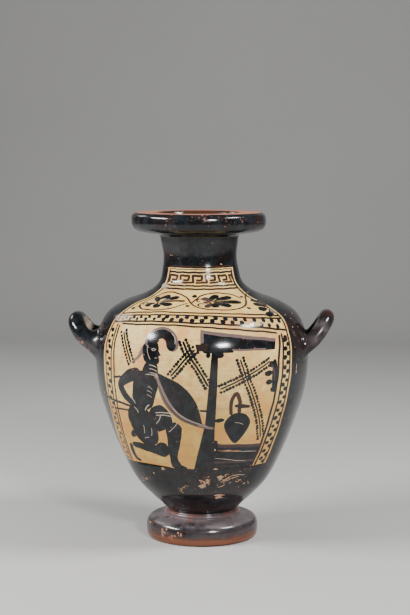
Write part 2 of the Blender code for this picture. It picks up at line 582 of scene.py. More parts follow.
    def skin(self) -> Surface:
        """Cut the sheet along every outline, paint its triangles and roll it on to the jar.

        Returns:
            The painted wall's skin.
        """
        outlines = [self.wobbled(outline) for outline, _ in self.shapes]
        rings = [self.border(), *outlines]
        places = np.vstack([*rings, self.lattice(outlines)])
        edges: list[tuple[int, int]] = []
        start = 0
        for ring in rings:
            index = np.arange(start, start + len(ring))
            edges += list(zip(index.tolist(), np.roll(index, -1).tolist()))
            start += len(ring)
        spots = [Vector(place) for place in places.tolist()]
        flat, _, faces, *_ = delaunay_2d_cdt(spots, edges, [], 0, self.MEET, False)
        places = np.array([tuple(p) for p in flat])
        triangles = np.array(faces)
        corners = places[triangles]
        first, second = corners[:, 1] - corners[:, 0], corners[:, 2] - corners[:, 0]
        area = first[:, 0] * second[:, 1] - first[:, 1] * second[:, 0]
        triangles[area < 0] = triangles[area < 0][:, ::-1]
        triangles = triangles[np.abs(area) > self.LEAST_AREA]
        middles = places[triangles].mean(1)
        paint = np.tile(np.array(Paint.GLOSS.value), (len(triangles), 1))
        for outline, (_, kind) in zip(outlines, self.shapes):
            paint[self.inside(outline, middles)] = kind.value
        return self.rolled(places, triangles, paint)

    def rolled(self, places: Array, triangles: Array, paint: Array) -> Surface:
        """Set the sheet's edge places exactly on the columns and roll the sheet up.

        Args:
            places: the sheet's points.
            triangles: its triangles.
            paint: their layers.

        Returns:
            The skin on the jar.
        """
        half, height = self.wall.half, self.wall.height
        pitch = 2 * half / COLUMNS
        across, up = places[:, 0].copy(), places[:, 1].copy()
        low, high = up < self.EDGE_REACH, up > height - self.EDGE_REACH
        up[low], up[high] = 0.0, height
        across[low | high] = np.round((across[low | high] + half) / pitch) * pitch - half
        across[np.abs(across) > half - self.EDGE_REACH] = half
        side = across == half
        rise = height / round(height / LATTICE_RISE)
        up[side] = np.round(up[side] / rise) * rise
        points, normals = self.wall.place(across, up)
        normals[low | high] = 0.0
        return Surface(points, triangles, paint, normals)


@dataclass(frozen=True)
class Side:
    """One side of the frame: how far across its edge, lines and dots stand, at a row of heights."""

    ups: Sequence[float]
    edge: Sequence[float]
    dark_line: Sequence[float]
    outer_dots: Sequence[float]
    inner_dots: Sequence[float]
    column_line: Sequence[float]
    inner_line: Sequence[float]
    column_top: float
    dot_pitch: float
    dot_half: Pair
    line_widths: tuple[float, float, float]

    def at(self, stations: Sequence[float], up: Array) -> Array:
        """How far across a line stands at each height, on a smooth curve through its stations."""
        curve = smooth_curve(np.column_stack((self.ups[: len(stations)], stations)), 8)
        return np.interp(up, curve[:, 0], curve[:, 1])

    def line(self, stations: Sequence[float], low: float, high: float) -> Array:
        """A line's places from one height to another."""
        ups = np.linspace(low, high, 90)
        return np.column_stack((self.at(stations, ups), ups))


LEFT_SIDE = Side(
    ups=(70, 90, 110, 125, 150, 175, 200, 210, 220, 230, 245, 270, 285, 297, 312, 330),
    edge=(
        *(-140, -135, -130, -125, -119.4, -119, -118.6, -116.4, -113.8, -110.8),
        *(-106.2, -103, -100.5, -99, -101, -105),
    ),
    dark_line=(
        *(-131, -127, -122.3, -119.6, -115.8, -113.6, -113.6, -112, -110.2, -107.4),
        *(-102.6, -98, -94.5, -91.5, -92, -95),
    ),
    outer_dots=(-124, -122, -119, -116.5, -111, -109.6, -109.4, -107.2, -105.6, -103.4),
    inner_dots=(-120, -118.6, -115.8, -113.2, -107.7, -106.5, -106.2, -104.7, -102.8, -99.8),
    column_line=(-116, -113, -110.2, -108.1, -105, -103.5, -102, -100.4, -99, -97.5),
    inner_line=(-111.5, -108.6, -105.9, -103.6, -99.7, -97.9, -96.8, -96.2, -95, -93.6),
    column_top=233.0,
    dot_pitch=12.0,
    dot_half=(2.9, 2.1),
    line_widths=(2.3, 2.2, 2.5),
)
RIGHT_SIDE = Side(
    ups=(70, 80, 90, 100, 120, 140, 160, 180, 200, 220, 232, 245, 255, 270, 287, 300, 312, 330),
    edge=(
        *(108, 110.5, 112, 113, 114.2, 114, 114.6, 116.4, 116.3, 114.6, 114, 112.4),
        *(110.8, 108.4, 107.4, 109.2, 115, 126),
    ),
    dark_line=(
        *(101, 104.4, 106.2, 107.6, 110, 110, 110.6, 112.6, 112.8, 111.2, 110.2, 108.4),
        *(106.4, 103.3, 100.9, 101.6, 106, 116),
    ),
    outer_dots=(98, 101.5, 103.4, 104.6, 106.6, 107.4, 107.4, 109.4, 109.4, 108.6),
    inner_dots=(94, 95.5, 96.6, 97.8, 100, 101.8, 102.9, 104.4, 105, 104.6),
    column_line=(86, 88, 90.6, 92.4, 95.2, 97.3, 99.2, 100.9, 101.5, 101, 100.6),
    inner_line=(79.5, 82, 84.6, 87, 89, 90.4, 92.2, 94.2, 94.9, 97, 98.6),
    column_top=223.5,
    dot_pitch=9.3,
    dot_half=(3, 2.3),
    line_widths=(2.8, 2.9, 3.2),
)


@dataclass(frozen=True)
class Level:
    """A dark line across the frame: its course, how far inside the edges it ends, and its width."""

    stations: Course
    inset: float
    width: float


@dataclass
class Frame:
    """The reserved panel with its cream edge, dark lines and two-row borders of dots."""

    left: Side = LEFT_SIDE
    right: Side = RIGHT_SIDE
    ground: float = 78.5
    top: float = 324.6
    line_top: float = 323.0
    levels: Sequence[Level] = (
        Level(
            (
                *((-106, 244.6), (-95, 246.6), (-75, 250), (-60, 251.9), (-40, 253.7), (-5, 253.3)),
                *((20, 252.7), (40, 251.3), (60, 249.4), (80, 247), (100, 244), (112, 242)),
            ),
            inset=3.0,
            width=2.4,
        ),
        Level(
            (
                *((-106, 240.8), (-95, 242.6), (-75, 245.5), (-60, 247.2), (-30, 249.2), (0, 248.7)),
                *((20, 248), (40, 246.2), (60, 244.2), (80, 242.2), (100, 240.1), (112, 238.8)),
            ),
            inset=3.0,
            width=2.5,
        ),
        Level(
            (
                *((-108, 234), (-95, 235.3), (-75, 237.4), (-60, 238.6), (-30, 239.5), (-5, 238.8)),
                *((20, 238), (40, 236), (60, 233.6), (78, 230.9), (95, 228.3), (112, 225.4)),
            ),
            inset=3.0,
            width=2.3,
        ),
        Level(
            (
                *((-100, 232.4), (-85, 233.4), (-60, 234.8), (-40, 235.7), (-20, 235.7), (0, 234.7)),
                *((20, 233.2), (40, 231.4), (60, 229), (78, 226.8), (90, 225), (99.5, 223.8)),
            ),
            inset=17.0,
            width=2.0,
        ),
    )
    dot_pitch: float = 11.3
    dot_half: Pair = (2.4, 2.7)
    dot_inset: float = 5.5
    # Each row of dots: its level, how far above that, and how much of a step comes first
    dot_rows: tuple[tuple[int, float, float], ...] = ((1, -2.9, 0.1), (2, 3.2, 0.6))
    corner_dot: Spot = ((106.2, 217.5), 3.4, 3.8)
    small_left_of: float = -45.0
    small_share: float = 0.8
    link_left_of: float = -38.0
    link: Course = ((-2, 2.6), (0.6, 0.2), (2.6, -1.6))
    link_width: float = 2.2

    def edges(self) -> tuple[Callable[[Array], Array], Callable[[Array], Array]]:
        """The panel's left and right outer edges."""
        return tuple(lambda up, side=side: side.at(side.edge, up) for side in (self.left, self.right))

    def panel(self, canvas: Canvas) -> None:
        """Leave the clay bare inside the edges.

        Args:
            canvas: the sheet.
        """
        left = self.left.line(self.left.edge, self.ground, self.top)
        right = self.right.line(self.right.edge, self.ground, self.top)
        canvas.fill(np.vstack((left, right[::-1])), Paint.CLAY)

    def clipped(self, line: Array, canvas: Canvas, inset: float) -> Array:
        """The part of a level line that lies between the side edges.

        Args:
            line: the whole line.
            canvas: the sheet.
            inset: how far inside the edges it ends.

        Returns:
            The part.
        """
        line = resample(line, 1.5)
        left, right = (edge(line[:, 1]) for edge in self.edges())
        gap = inset / canvas.wall.squeeze(line[:, 1])
        return line[(line[:, 0] > left + gap) & (line[:, 0] < right - gap)]

    def lines(self, canvas: Canvas) -> None:
        """Draw the frame's dark lines.

        Args:
            canvas: the sheet.
        """
        for side in (self.left, self.right):
            dark, column, inner = side.line_widths
            canvas.stroke(side.line(side.dark_line, self.ground, self.line_top), dark, Paint.THIN)
            canvas.stroke(side.line(side.column_line, self.ground, side.column_top), column, Paint.THIN)
            canvas.stroke(side.line(side.inner_line, self.ground, side.column_top - 1.0), inner, Paint.THIN)
        for level in self.levels:
            line = self.clipped(smooth_curve(level.stations), canvas, level.inset)
            canvas.stroke(line, level.width, Paint.THIN)

    @staticmethod
    def uneven_dot(canvas: Canvas, middle: Pair, half: Pair, share: float = 1.0) -> None:
        """One dot of the borders, by chance a little smaller or larger than its half sizes."""
        grow = canvas.random.uniform(0.88, 1.15) * share
        canvas.dot(middle, half[0] * grow, half[1] * grow, Paint.GLOSS, 0.12)

    def dot_row(self, canvas: Canvas, line: Array, start: float) -> Array:
        """Uneven dots at even steps along a level line.

        Args:
            canvas: the sheet.
            line: the line.
            start: the part of a step before the first dot.

        Returns:
            The dots' middles.
        """
        count = int((line[-1, 0] - line[0, 0]) / self.dot_pitch - start)
        marks = line[0, 0] + self.dot_pitch * (np.arange(count + 1) + start)
        marks = marks + canvas.random.uniform(-0.8, 0.8, len(marks))
        places = np.column_stack((marks, np.interp(marks, line[:, 0], line[:, 1])))
        for middle in places:
            share = self.small_share if middle[0] < self.small_left_of else 1.0
            self.uneven_dot(canvas, middle, self.dot_half, share)
        return places

    def dots(self, canvas: Canvas) -> None:
        """Set two staggered rows of dots over the picture and two staggered columns beside it.

        Towards the left each upper dot is drawn out downwards to the right in a slanting touch.

        Args:
            canvas: the sheet.
        """
        rows = []
        for level, rise, start in self.dot_rows:
            line = smooth_curve(self.levels[level].stations) + (0.0, rise)
            rows.append(self.dot_row(canvas, self.clipped(line, canvas, self.dot_inset), start))
        upper = rows[0]
        for middle in upper[upper[:, 0] < self.link_left_of]:
            canvas.stroke(middle + np.array(self.link), self.link_width, Paint.GLOSS)
        for side in (self.left, self.right):
            low, high = self.ground + 3.0, side.column_top - 3.0
            for column, start in ((side.outer_dots, 0), (side.inner_dots, 0.5)):
                ups = np.arange(low + start * side.dot_pitch, high, side.dot_pitch)
                ups = ups + canvas.random.uniform(-0.5, 0.5, len(ups))
                for middle in zip(side.at(column, ups), ups):
                    self.uneven_dot(canvas, middle, side.dot_half)
        canvas.dot(*self.corner_dot, Paint.GLOSS)

    def paint(self, canvas: Canvas) -> None:
        """Draw the whole frame.

        Args:
            canvas: the sheet.
        """
        self.panel(canvas)
        self.lines(canvas)
        self.dots(canvas)


@dataclass
class Meander:
    """The running key on the neck, between ruled lines."""

    low: float = 308.9
    high: float = 316.6
    first: float = -87.2
    pitch: float = 36.3
    units: int = 6
    stroke: float = 2.6
    bends: Course = ((-0.8, 0), (0.05, 0), (0, 1), (0.72, 1), (0.68, 0.38), (0.24, 0.38))
    room: float = 4.2
    step: float = 0.8
    rules: Course = ((320.2, 2.2), (323.4, 1), (304.8, 2.5), (300.2, 2.8))
    top_edge: float = 326.5

    def paint(self, canvas: Canvas, frame: Frame) -> None:
        """Draw each key as one bent stroke: along the bottom, up, along the top, down and back in.

        Args:
            canvas: the sheet.
            frame: the frame round it.
        """
        size = np.array((self.pitch, self.high - self.low))
        left, right = frame.edges()
        for key in range(self.units):
            line = np.array(self.bends) * size + (self.first + key * self.pitch, self.low)
            line = resample(line, self.step)
            room = self.room / canvas.wall.squeeze(line[:, 1])
            line = line[(line[:, 0] > left(line[:, 1]) + room) & (line[:, 0] < right(line[:, 1]) - room)]
            canvas.stroke(line, self.stroke, Paint.TENDRIL, self.step)
        for up, width in self.rules:
            rule = frame.clipped(np.array(((-140.0, up), (140.0, up))), canvas, 2.0)
            canvas.stroke(rule, width, Paint.THIN)
        start, end = left(self.top_edge) + 8.0, right(self.top_edge) - 10.0
        canvas.stroke(((start, self.top_edge + 0.1), (end, self.top_edge + 0.1)), 0.8, Paint.WASH)


@dataclass
class Palmette:
    """A fan of drawn leaves round a heart, each as (bend, tip, width, paint)."""

    heart: Pair
    leaves: Sequence[tuple[Pair, Pair, float, Paint]]
    scrolls: Course = ()
    scroll_size: float = 2.6
    scroll_turn: Pair = (0.4, 5.2)
    scroll_width: float = 1.9
    swelling: Sequence[float] = (0.3, 0.62, 0.95, 1.22, 1.25, 1.05)

    def leaf(self, canvas: Canvas, bend: Pair, tip: Pair, width: float, paint: Paint) -> None:
        """One leaf: a stroke from the heart through its bend, which swells to its width near the tip.

        Args:
            canvas: the sheet.
            bend: where the leaf bends.
            tip: where it ends.
            width: its width.
            paint: what it is drawn in.
        """
        heart = np.array(self.heart)
        line = smooth_curve((heart + 0.25 * (np.array(bend) - heart), bend, tip), 8)
        canvas.stroke(line, np.array(self.swelling) * width, paint, step=0.9)

    def paint(self, canvas: Canvas) -> None:
        """Draw the scrolls, the leaves and the heart.

        Args:
            canvas: the sheet.
        """
        turn = np.linspace(*self.scroll_turn, 14)
        for across, up in self.scrolls:
            squeeze = float(canvas.wall.squeeze(up))
            reach = self.scroll_size * (1 - turn / 9)
            curl = np.column_stack((across + reach * np.cos(turn) / squeeze, up + 1.3 * reach * np.sin(turn)))
            canvas.stroke(curl, self.scroll_width, Paint.THIN, step=0.8)
        for leaf in self.leaves:
            self.leaf(canvas, *leaf)
        canvas.dot(self.heart, 1.5, 1.7, Paint.TENDRIL)


@dataclass
class Shoulder:
    """The band of palmettes round the base of the neck, in a running tendril, with dots in the gaps."""

    palmettes: Sequence[Palmette] = (
        Palmette(
            (-63, 270.5),
            (
                ((-70, 275.5), (-80.5, 284.5), 4.6, Paint.THIN),
                ((-69, 280), (-54, 288), 6, Paint.GLOSS),
                ((-52, 280), (-35, 286.8), 6.2, Paint.GLOSS),
                ((-54, 276.5), (-45, 279.5), 6.5, Paint.EDGED),
                ((-40, 277.2), (-19, 278), 4, Paint.TENDRIL),
                ((-52, 269.6), (-36, 267.2), 7.2, Paint.GLOSS),
                ((-61, 265.6), (-53, 262.2), 7.2, Paint.GLOSS),
                ((-74, 265.4), (-70, 261), 6.4, Paint.GLOSS),
            ),
            ((-83, 266),),
        ),
        Palmette(
            (21.5, 274),
            (
                ((18.5, 281), (8.5, 284.8), 6.4, Paint.TINGED),
                ((26.5, 284), (40, 289.8), 6, Paint.GLOSS),
                ((38, 281.4), (64, 286), 6, Paint.GLOSS),
                ((44, 275.6), (72, 272.6), 7.6, Paint.GLOSS),
                ((35, 270), (51, 265.6), 7.2, Paint.GLOSS),
                ((24.5, 269), (31.5, 264), 7.4, Paint.GLOSS),
                ((17.6, 269.5), (14.4, 262.6), 5.4, Paint.TINGED),
                ((17, 275.6), (10.5, 273.6), 5.4, Paint.TINGED),
            ),
            ((4, 279.2), (6, 268.6)),
            3.6,
        ),
        Palmette(
            (105, 256.5),
            (
                ((104.5, 267), (95, 276.5), 6.4, Paint.GLOSS),
                ((108, 266), (107, 274), 5, Paint.TINGED),
                ((97, 263.2), (87.5, 266), 6.4, Paint.GLOSS),
                ((95.5, 255.8), (86.5, 254.8), 7, Paint.GLOSS),
                ((100, 248), (89, 244.8), 5.8, Paint.GLOSS),
                ((106, 252), (104, 247), 5, Paint.ROSE),
            ),
        ),
    )
    tendrils: Sequence[Course] = (
        (
            (-86.5, 258.5), (-90, 268), (-87, 281), (-76, 291.5), (-56, 294.3), (-38, 292), (-24, 287.6),
            (-15.5, 282.5), (-10, 274.5), (-2, 266), (12, 260.6), (30, 258.4), (48, 258.2), (62, 260.2),
            (73, 265.5), (83, 274.5), (94, 283.5), (106, 289),
        ),
        ((-88, 262.5), (-80, 256.8), (-64, 255.6), (-46, 257.4), (-32, 261.6), (-23, 267.5), (-13.5, 273)),
        ((-9, 272), (-3, 281), (6, 288.6), (28, 293.6), (56, 292.6), (72, 289), (82, 281.5)),
    )
    dots: Sequence[tuple[float, float, float, float]] = (
        (-5.5, 288.6, 2.7, 2.9), (-12, 266.4, 2.4, 2.1), (87, 284.6, 2.3, 1.9), (73.5, 259.4, 2.3, 2.1),
        (-93, 255.4, 2.4, 2.2),
    )

    def paint(self, canvas: Canvas) -> None:
        """Draw the tendrils, the palmettes and the dots.

        Args:
            canvas: the sheet.
        """
        for line in self.tendrils:
            canvas.stroke(smooth_curve(line), 2.1, Paint.TENDRIL)
        for palmette in self.palmettes:
            palmette.paint(canvas)
        for across, up, wide, tall in self.dots:
            canvas.dot((across, up), wide, tall, Paint.GLOSS, 0.16)


@dataclass
class Branch:
    """A drawn branch: a thin stem with a row of dots for leaves along both sides."""

    stem: Course
    stem_width: float = 1.9
    spread: float = 3.5
    pitch: float = 3.5
    leaf: float = 1.75

    def paint(self, canvas: Canvas) -> None:
        """Draw the stem and set leaves at even steps, square to it on both sides.

        Args:
            canvas: the sheet.
        """
        stem = resample(smooth_curve(self.stem, 12), self.pitch)
        canvas.stroke(stem, self.stem_width, Paint.GLOSS)
        side = canvas.square_to(stem)
        for sign in (-1, 1):
            rows = stem + sign * side * self.spread / canvas.true_scale(stem[:, 1])
            for across, up in rows + canvas.random.uniform(-0.25, 0.25, rows.shape):
                size = self.leaf * canvas.random.uniform(0.85, 1.15)
                canvas.dot((across, up), size, size, Paint.GLOSS, 0.12)


def bowed(start: Pair, end: Pair, bulge: float, count: int = 14) -> Array:
    """A straight line pushed square to itself by the bulge times the sine of the way along.

    Args:
        start: its first point.
        end: its last point.
        bulge: how far left its middle is pushed.
        count: how many points it has.

    Returns:
        The points.
    """
    way = np.linspace(0.0, 1.0, count)[:, None]
    first, last = np.array(start), np.array(end)
    along = last - first
    square = np.array((-along[1], along[0])) / np.linalg.norm(along)
    return first + way * along + bulge * np.sin(math.pi * way) * square


@dataclass
class Warrior:
    """A plain stock figure: a helmeted man who kneels behind a round shield seen from the side.

    Every limb is a bar from joint to joint with its widths, and the head is a stock profile in shares
    of its height.
    """

    head_at: Pair = (-45.4, 206)
    head_tall: float = 24.0
    profile: Course = (
        (0.26, 0.50), (0.38, 0.26), (0.37, 0.10), (0.46, -0.06), (0.37, -0.12), (0.38, -0.22),
        (0.36, -0.40), (0.14, -0.50), (-0.30, -0.36), (-0.42, 0.00), (-0.34, 0.36), (0.00, 0.52),
    )
    tail: Course = ((-49, 219.5), (-55, 209), (-61, 201), (-69, 194.5))
    tail_widths: Sequence[float] = (3.4, 5.4, 3.2, 1.8)
    brim: Course = ((-50.4, 218.6), (-44, 219.4), (-37, 219))
    brim_widths: Sequence[float] = (4.4, 6, 4)
    crest_middle: Pair = (-34.6, 214)
    crest_reach: Pair = (12.4, 13.6)
    crest_sweep_deg: Pair = (190, -22)
    crest_wide: float = 12.4
    crest_trim: float = 2.8
    # Each cut line: its ends and its bulge
    head_cuts: Sequence[tuple[Pair, Pair, float]] = (
        ((-45, 210), (-39.6, 210), 1.1),
        ((-45, 210), (-39.6, 210), -0.9),
        ((-49, 214.6), (-46, 199.6), -2),
        ((-41.4, 201.2), (-38.4, 201.4), 0),
        ((-24, 227), (-19.6, 216), 1.6),
    )
    neck: Course = ((-45, 199), (-46, 190), (-48, 182))
    trunk: Course = ((-50, 188), (-54, 172), (-58, 156), (-60, 146))
    arm: Course = ((-58, 186), (-74, 180), (-87, 170), (-83, 160), (-68, 149))
    hips: Course = ((-58, 150), (-66, 136), (-62, 120), (-52, 106))
    front_thigh: Course = ((-54, 138), (-40, 137), (-26, 133))
    front_shin: Course = ((-25, 134), (-25, 118), (-28, 102), (-29, 90), (-26, 78))
    front_foot: Course = ((-31, 79.5), (-22, 79.5), (-12, 78.5))
    back_shin: Course = ((-47, 108), (-42, 99), (-56, 100), (-74, 101.5), (-92, 102))
    back_foot: Course = ((-96, 103), (-97, 92), (-94, 85), (-85, 82.5))
    scabbard: Course = ((-74.5, 121), (-81, 116.5), (-88, 112.5))
    spears: Sequence[tuple[Pair, Pair, float]] = (
        ((-124, 153), (-74, 148), 2.6),
        ((-108, 141.6), (-78, 143.2), 2),
        ((-99.5, 176.8), (-86, 178.6), 2.4),
        ((5, 147.6), (15, 147.4), 2.2),
    )
    shield_ends: tuple[Pair, Pair] = ((-39.6, 187), (8.8, 132))
    shield_bulges: Pair = (13, -15)
    rim_ends: tuple[Pair, Pair] = ((-39.6, 186), (21.5, 127.4))
    rim_bulge: float = -16.4
    rim_widths: Sequence[float] = (2, 4.4, 5.2, 4.6, 3.4, 2.4)
    # Each row of folds: the first one's ends, how many, the step to the next, and the width
    folds: Sequence[tuple[Pair, Pair, int, Pair, float]] = (
        ((-48, 194), (-39, 191.6), 3, (0.4, -4), 0.6),
        ((-52, 184), (-37, 182), 1, (0, 0), 0.6),
        ((-51, 171), (-45, 168.4), 3, (-0.6, -4.2), 0.4),
        ((-73.4, 158), (-68.8, 151.6), 2, (2, -10), 0.7),
        ((-57, 145), (-50, 152), 1, (0, 0), 1),
        ((-44, 144), (-23, 143.2), 2, (0, -3), 0.9),
        ((-38, 142), (-45, 131), 1, (0, 0), 0.7),
        ((-18, 136), (-31, 122), 1, (0, 0), 0.5),
        ((-63, 128), (-65, 118), 2, (10, -2), 0.5),
        ((-66, 112), (-59, 114), 1, (0, 0), 0.5),
    )

    def body(self, canvas: Canvas) -> None:
        """The limbs from the neck down, each with a width for every joint.

        Args:
            canvas: the sheet.
        """
        for joints, widths in (
            (self.neck, (14.0, 17.0, 26.0)),
            (self.trunk, (28.0, 30.0, 27.0, 28.0)),
            (self.arm, (12.0, 13.0, 9.5, 9.0, 6.5)),
            (self.hips, (26.0, 34.0, 32.0, 22.0)),
            (self.front_thigh, (28.0, 33.0, 22.0)),
            (self.front_shin, (20.0, 16.0, 12.5, 8.0, 12.0)),
            (self.front_foot, (5.0, 7.0, 4.0)),
            (self.back_shin, (17.0, 13.0, 10.0, 8.0, 6.5)),
            (self.back_foot, (6.0, 6.0, 5.0, 3.0)),
            (self.scabbard, (3.0, 8.0, 6.0)),
        ):
            canvas.limb(joints, widths)

    def head(self, canvas: Canvas) -> None:
        """The hanging tail, the stock profile, the crest as part of an oval ring, the brim and the cuts.

        Args:
            canvas: the sheet.
        """
        canvas.limb(self.tail, self.tail_widths, Paint.ROSE)
        canvas.blob(np.array(self.head_at) + np.array(self.profile) * self.head_tall, Paint.GLOSS, 5)
        turn = np.radians(np.linspace(*self.crest_sweep_deg, 9))
        ring = np.column_stack((np.cos(turn), np.sin(turn)))
        for trim, paint in ((0.0, Paint.EDGED), (self.crest_trim, Paint.GLOSS)):
            line = np.array(self.crest_middle) + ring * (np.array(self.crest_reach) - trim / 2)
            canvas.limb(line, self.crest_wide - trim, paint)
        canvas.limb(self.brim, self.brim_widths)
        for start, end, bulge in self.head_cuts:
            canvas.stroke(bowed(start, end, bulge), 0.5, Paint.CUT, canvas.FINE_STEP)

    def shield(self, canvas: Canvas) -> None:
        """The black face between two bows, and the rim: a rose band edged and lined in brown.

        Args:
            canvas: the sheet.
        """
        outer, inner = (bowed(*self.shield_ends, bulge) for bulge in self.shield_bulges)
        canvas.fill(np.vstack((outer, inner[::-1])), Paint.GLOSS)
        rim = bowed(*self.rim_ends, self.rim_bulge, 24)
        canvas.stroke(rim, np.array(self.rim_widths) + 1.6, Paint.THIN)
        canvas.stroke(rim, self.rim_widths, Paint.ROSE)
        canvas.stroke(rim[3:20] - (1.0, 0.4), (0.8, 1.7, 1.3), Paint.TINGED)
        canvas.stroke(rim[10:22] + (1.2, 1.0), 0.45, Paint.CUT, canvas.FINE_STEP)

    def paint(self, canvas: Canvas) -> None:
        """Draw the spears, the body, the head, the shield and the folds, from back to front.

        Args:
            canvas: the sheet.
        """
        for start, end, width in self.spears:
            canvas.stroke((start, end), width, Paint.GLOSS)
        self.body(canvas)
        self.head(canvas)
        self.shield(canvas)
        for start, end, count, step, width in self.folds:
            for index in range(count):
                line = bowed(start, end, 0.8, 8) + index * np.array(step)
                canvas.stroke(line, width, Paint.CUT, canvas.FINE_STEP)


@dataclass
class Fountain:
    """A fountain house: a column under a beam, a stepped base, a knobbed spout and a jar on a hook."""

    shaft: Course = ((17.6, 209), (24.2, 209), (23, 130), (11.4, 130))
    pier: Course = ((11.4, 131), (22.8, 131), (24, 76), (-3.6, 76))
    volutes: Sequence[Spot] = (((14.2, 205.6), 2.4, 3), ((26.2, 205.6), 3.9, 3.6))
    beam: Course = ((6.4, 231), (91, 219.2), (89, 208.2), (6.4, 210.4))
    beam_edge: float = 3.4
    beam_edge_foot: float = 217.0
    beam_underline: Course = ((38.6, 210.2), (77.6, 209.4))
    capital: Course = ((4, 214.4), (42.4, 213.8), (40, 207.4), (10, 207.4))
    step: Course = ((0.8, 216.4), (14, 216.4), (13, 209.4), (2.6, 209.4))
    spout: Course = ((89, 198), (89.6, 186), (90.4, 174), (90, 163.4))
    spout_widths: Sequence[float] = (5, 8, 8.4, 5)
    knobs: Sequence[Spot] = (
        ((84.6, 193), 3.4, 3.6),
        ((81, 184), 5.4, 3.2),
        ((82.4, 174.6), 4.4, 3),
        ((88, 166.4), 3.4, 2.8),
    )
    spout_shine: tuple[Pair, Pair] = ((84, 195), (90, 175))
    hook: Course = ((39.6, 142), (39.6, 157), (44.2, 165.4), (48.8, 157), (48.8, 151))
    hook_widths: Sequence[float] = (3.6, 4, 4.2, 4.2, 4.2)
    bar: Course = ((43, 152.2), (50, 151.8), (61.5, 150.8))
    hanger: Course = ((48.9, 151), (49, 143.5))
    jar_middle: Pair = (48.6, 129)
    jar_half: float = 15.6
    jar_shares: Course = (
        (0, 1), (0.62, 0.80), (1, 0.15), (0.66, -0.66), (0.10, -1.25), (-0.10, -1.25), (-0.66, -0.66),
        (-1, 0.15), (-0.62, 0.80),
    )
    jar_line: Course = ((45, 133.6), (51, 132.8), (56, 130.6))
    jar_handle: Spot = ((27.4, 136.6), 5.4, 2.5)
    base_left: float = 20.5
    base_bands: Sequence[tuple[float, float, Paint]] = (
        (109.6, 105.4, Paint.TINGED),
        (105.4, 88.6, Paint.GLOSS),
        (88.6, 85.4, Paint.TINGED),
        (85.4, 76, Paint.GLOSS),
    )
    base_fall: float = 4.0
    base_low: float = 76.0
    base_rise: float = 32.8
    plinth: Course = ((20, 114), (26, 112.8), (27.4, 109.8), (27.4, 105), (20, 105))
    base_scrapes: Sequence[tuple[Course, Sequence[float], Paint]] = (
        (((23, 102.4), (25.6, 101.8)), (3, 2), Paint.CHIP),
        (((28, 101.2), (40, 100.6), (50, 99.4), (60, 98.8)), (0.5, 1, 2.6, 1.3, 2.2, 0.6), Paint.BARE),
        (((58, 98.7), (70, 97.9), (83, 96.4)), (0.4, 0.6, 0.4), Paint.CUT),
        (((30, 107), (44, 106.4), (60, 104.6)), (0.5, 0.9, 0.4), Paint.WASH),
        (((24, 92.2), (35, 90.8), (45, 89.4)), (0.3, 0.5, 0.3), Paint.CUT),
        (((38, 90), (55, 87.8), (70, 86.4)), (0.3, 0.6, 0.3), Paint.CUT),
        (((24, 82.6), (40, 81.4), (58, 80.6)), (0.5, 0.8, 0.4), Paint.WASH),
        (((24, 78.6), (30, 78.2)), (2, 2.4, 1.4), Paint.CHIP),
    )

    def base(self, canvas: Canvas, frame: Frame) -> None:
        """The stepped base: bands from the column to the frame's inner line, falling to the right.

        Args:
            canvas: the sheet.
            frame: the frame round it.
        """
        for top, bottom, paint in self.base_bands:
            edges = []
            for up in (top, bottom):
                right = float(frame.right.at(frame.right.inner_line, up - self.base_fall)) - 0.8
                fall = self.base_fall * (up - self.base_low) / self.base_rise
                edges.append(np.array(((self.base_left, up), (right, up - fall))))
            upper, lower = edges
            canvas.fill(np.vstack((resample(upper, 4.0), resample(lower[::-1], 4.0))), paint)
        canvas.fill(self.plinth, Paint.GLOSS)
        for line, widths, paint in self.base_scrapes:
            canvas.stroke(smooth_curve(line, 6), widths, paint, canvas.FINE_STEP)

    def column(self, canvas: Canvas) -> None:
        """The column, its capital and the beam, edged in rose along the top, down the left and below.

        Args:
            canvas: the sheet.
        """
        canvas.fill(self.shaft, Paint.GLOSS)
        canvas.fill(self.pier, Paint.GLOSS)
        for middle, half_across, half_up in self.volutes:
            canvas.dot(middle, half_across, half_up, Paint.GLOSS, 0.06)
        canvas.fill(self.beam, Paint.GLOSS)
        canvas.fill(self.capital, Paint.GLOSS)
        canvas.fill(self.step, Paint.THIN)
        left_top, right_top, _, left_foot = self.beam
        half = self.beam_edge / 2
        top = resample(np.array((left_top, right_top)) - (0.0, half), 6.0)
        down = ((left_top[0] + half, left_top[1] - half), (left_foot[0] + half, self.beam_edge_foot))
        for line, width in ((top, self.beam_edge), (down, self.beam_edge), (self.beam_underline, 1.9)):
            canvas.stroke(line, width, Paint.EDGED)

    def water_jar(self, canvas: Canvas) -> None:
        """The knobbed spout at the right, and the jar that hangs from a hook beside the column.

        Args:
            canvas: the sheet.
        """
        canvas.limb(self.spout, self.spout_widths)
        for middle, half_across, half_up in self.knobs:
            canvas.dot(middle, half_across, half_up, Paint.GLOSS, 0.06)
        canvas.stroke(bowed(*self.spout_shine, 1.2), (1.0, 3.0, 1.0), Paint.TINGED)
        canvas.limb(self.hook, self.hook_widths, Paint.TENDRIL)
        canvas.limb(self.bar, (3.0, 4.6, 3.0), Paint.THIN)
        canvas.stroke(self.hanger, 4.4, Paint.TENDRIL)
        canvas.blob(np.array(self.jar_middle) + np.array(self.jar_shares) * self.jar_half, Paint.GLOSS, 5)
        canvas.stroke(smooth_curve(self.jar_line, 6), 0.45, Paint.CUT)
        canvas.dot(*self.jar_handle, Paint.GLOSS)

    def paint(self, canvas: Canvas, frame: Frame) -> None:
        """Draw the base, the column with its beam, and the jar with its spout.

        Args:
            canvas: the sheet.
            frame: the frame round it.
        """
        self.base(canvas, frame)
        self.column(canvas)
        self.water_jar(canvas)


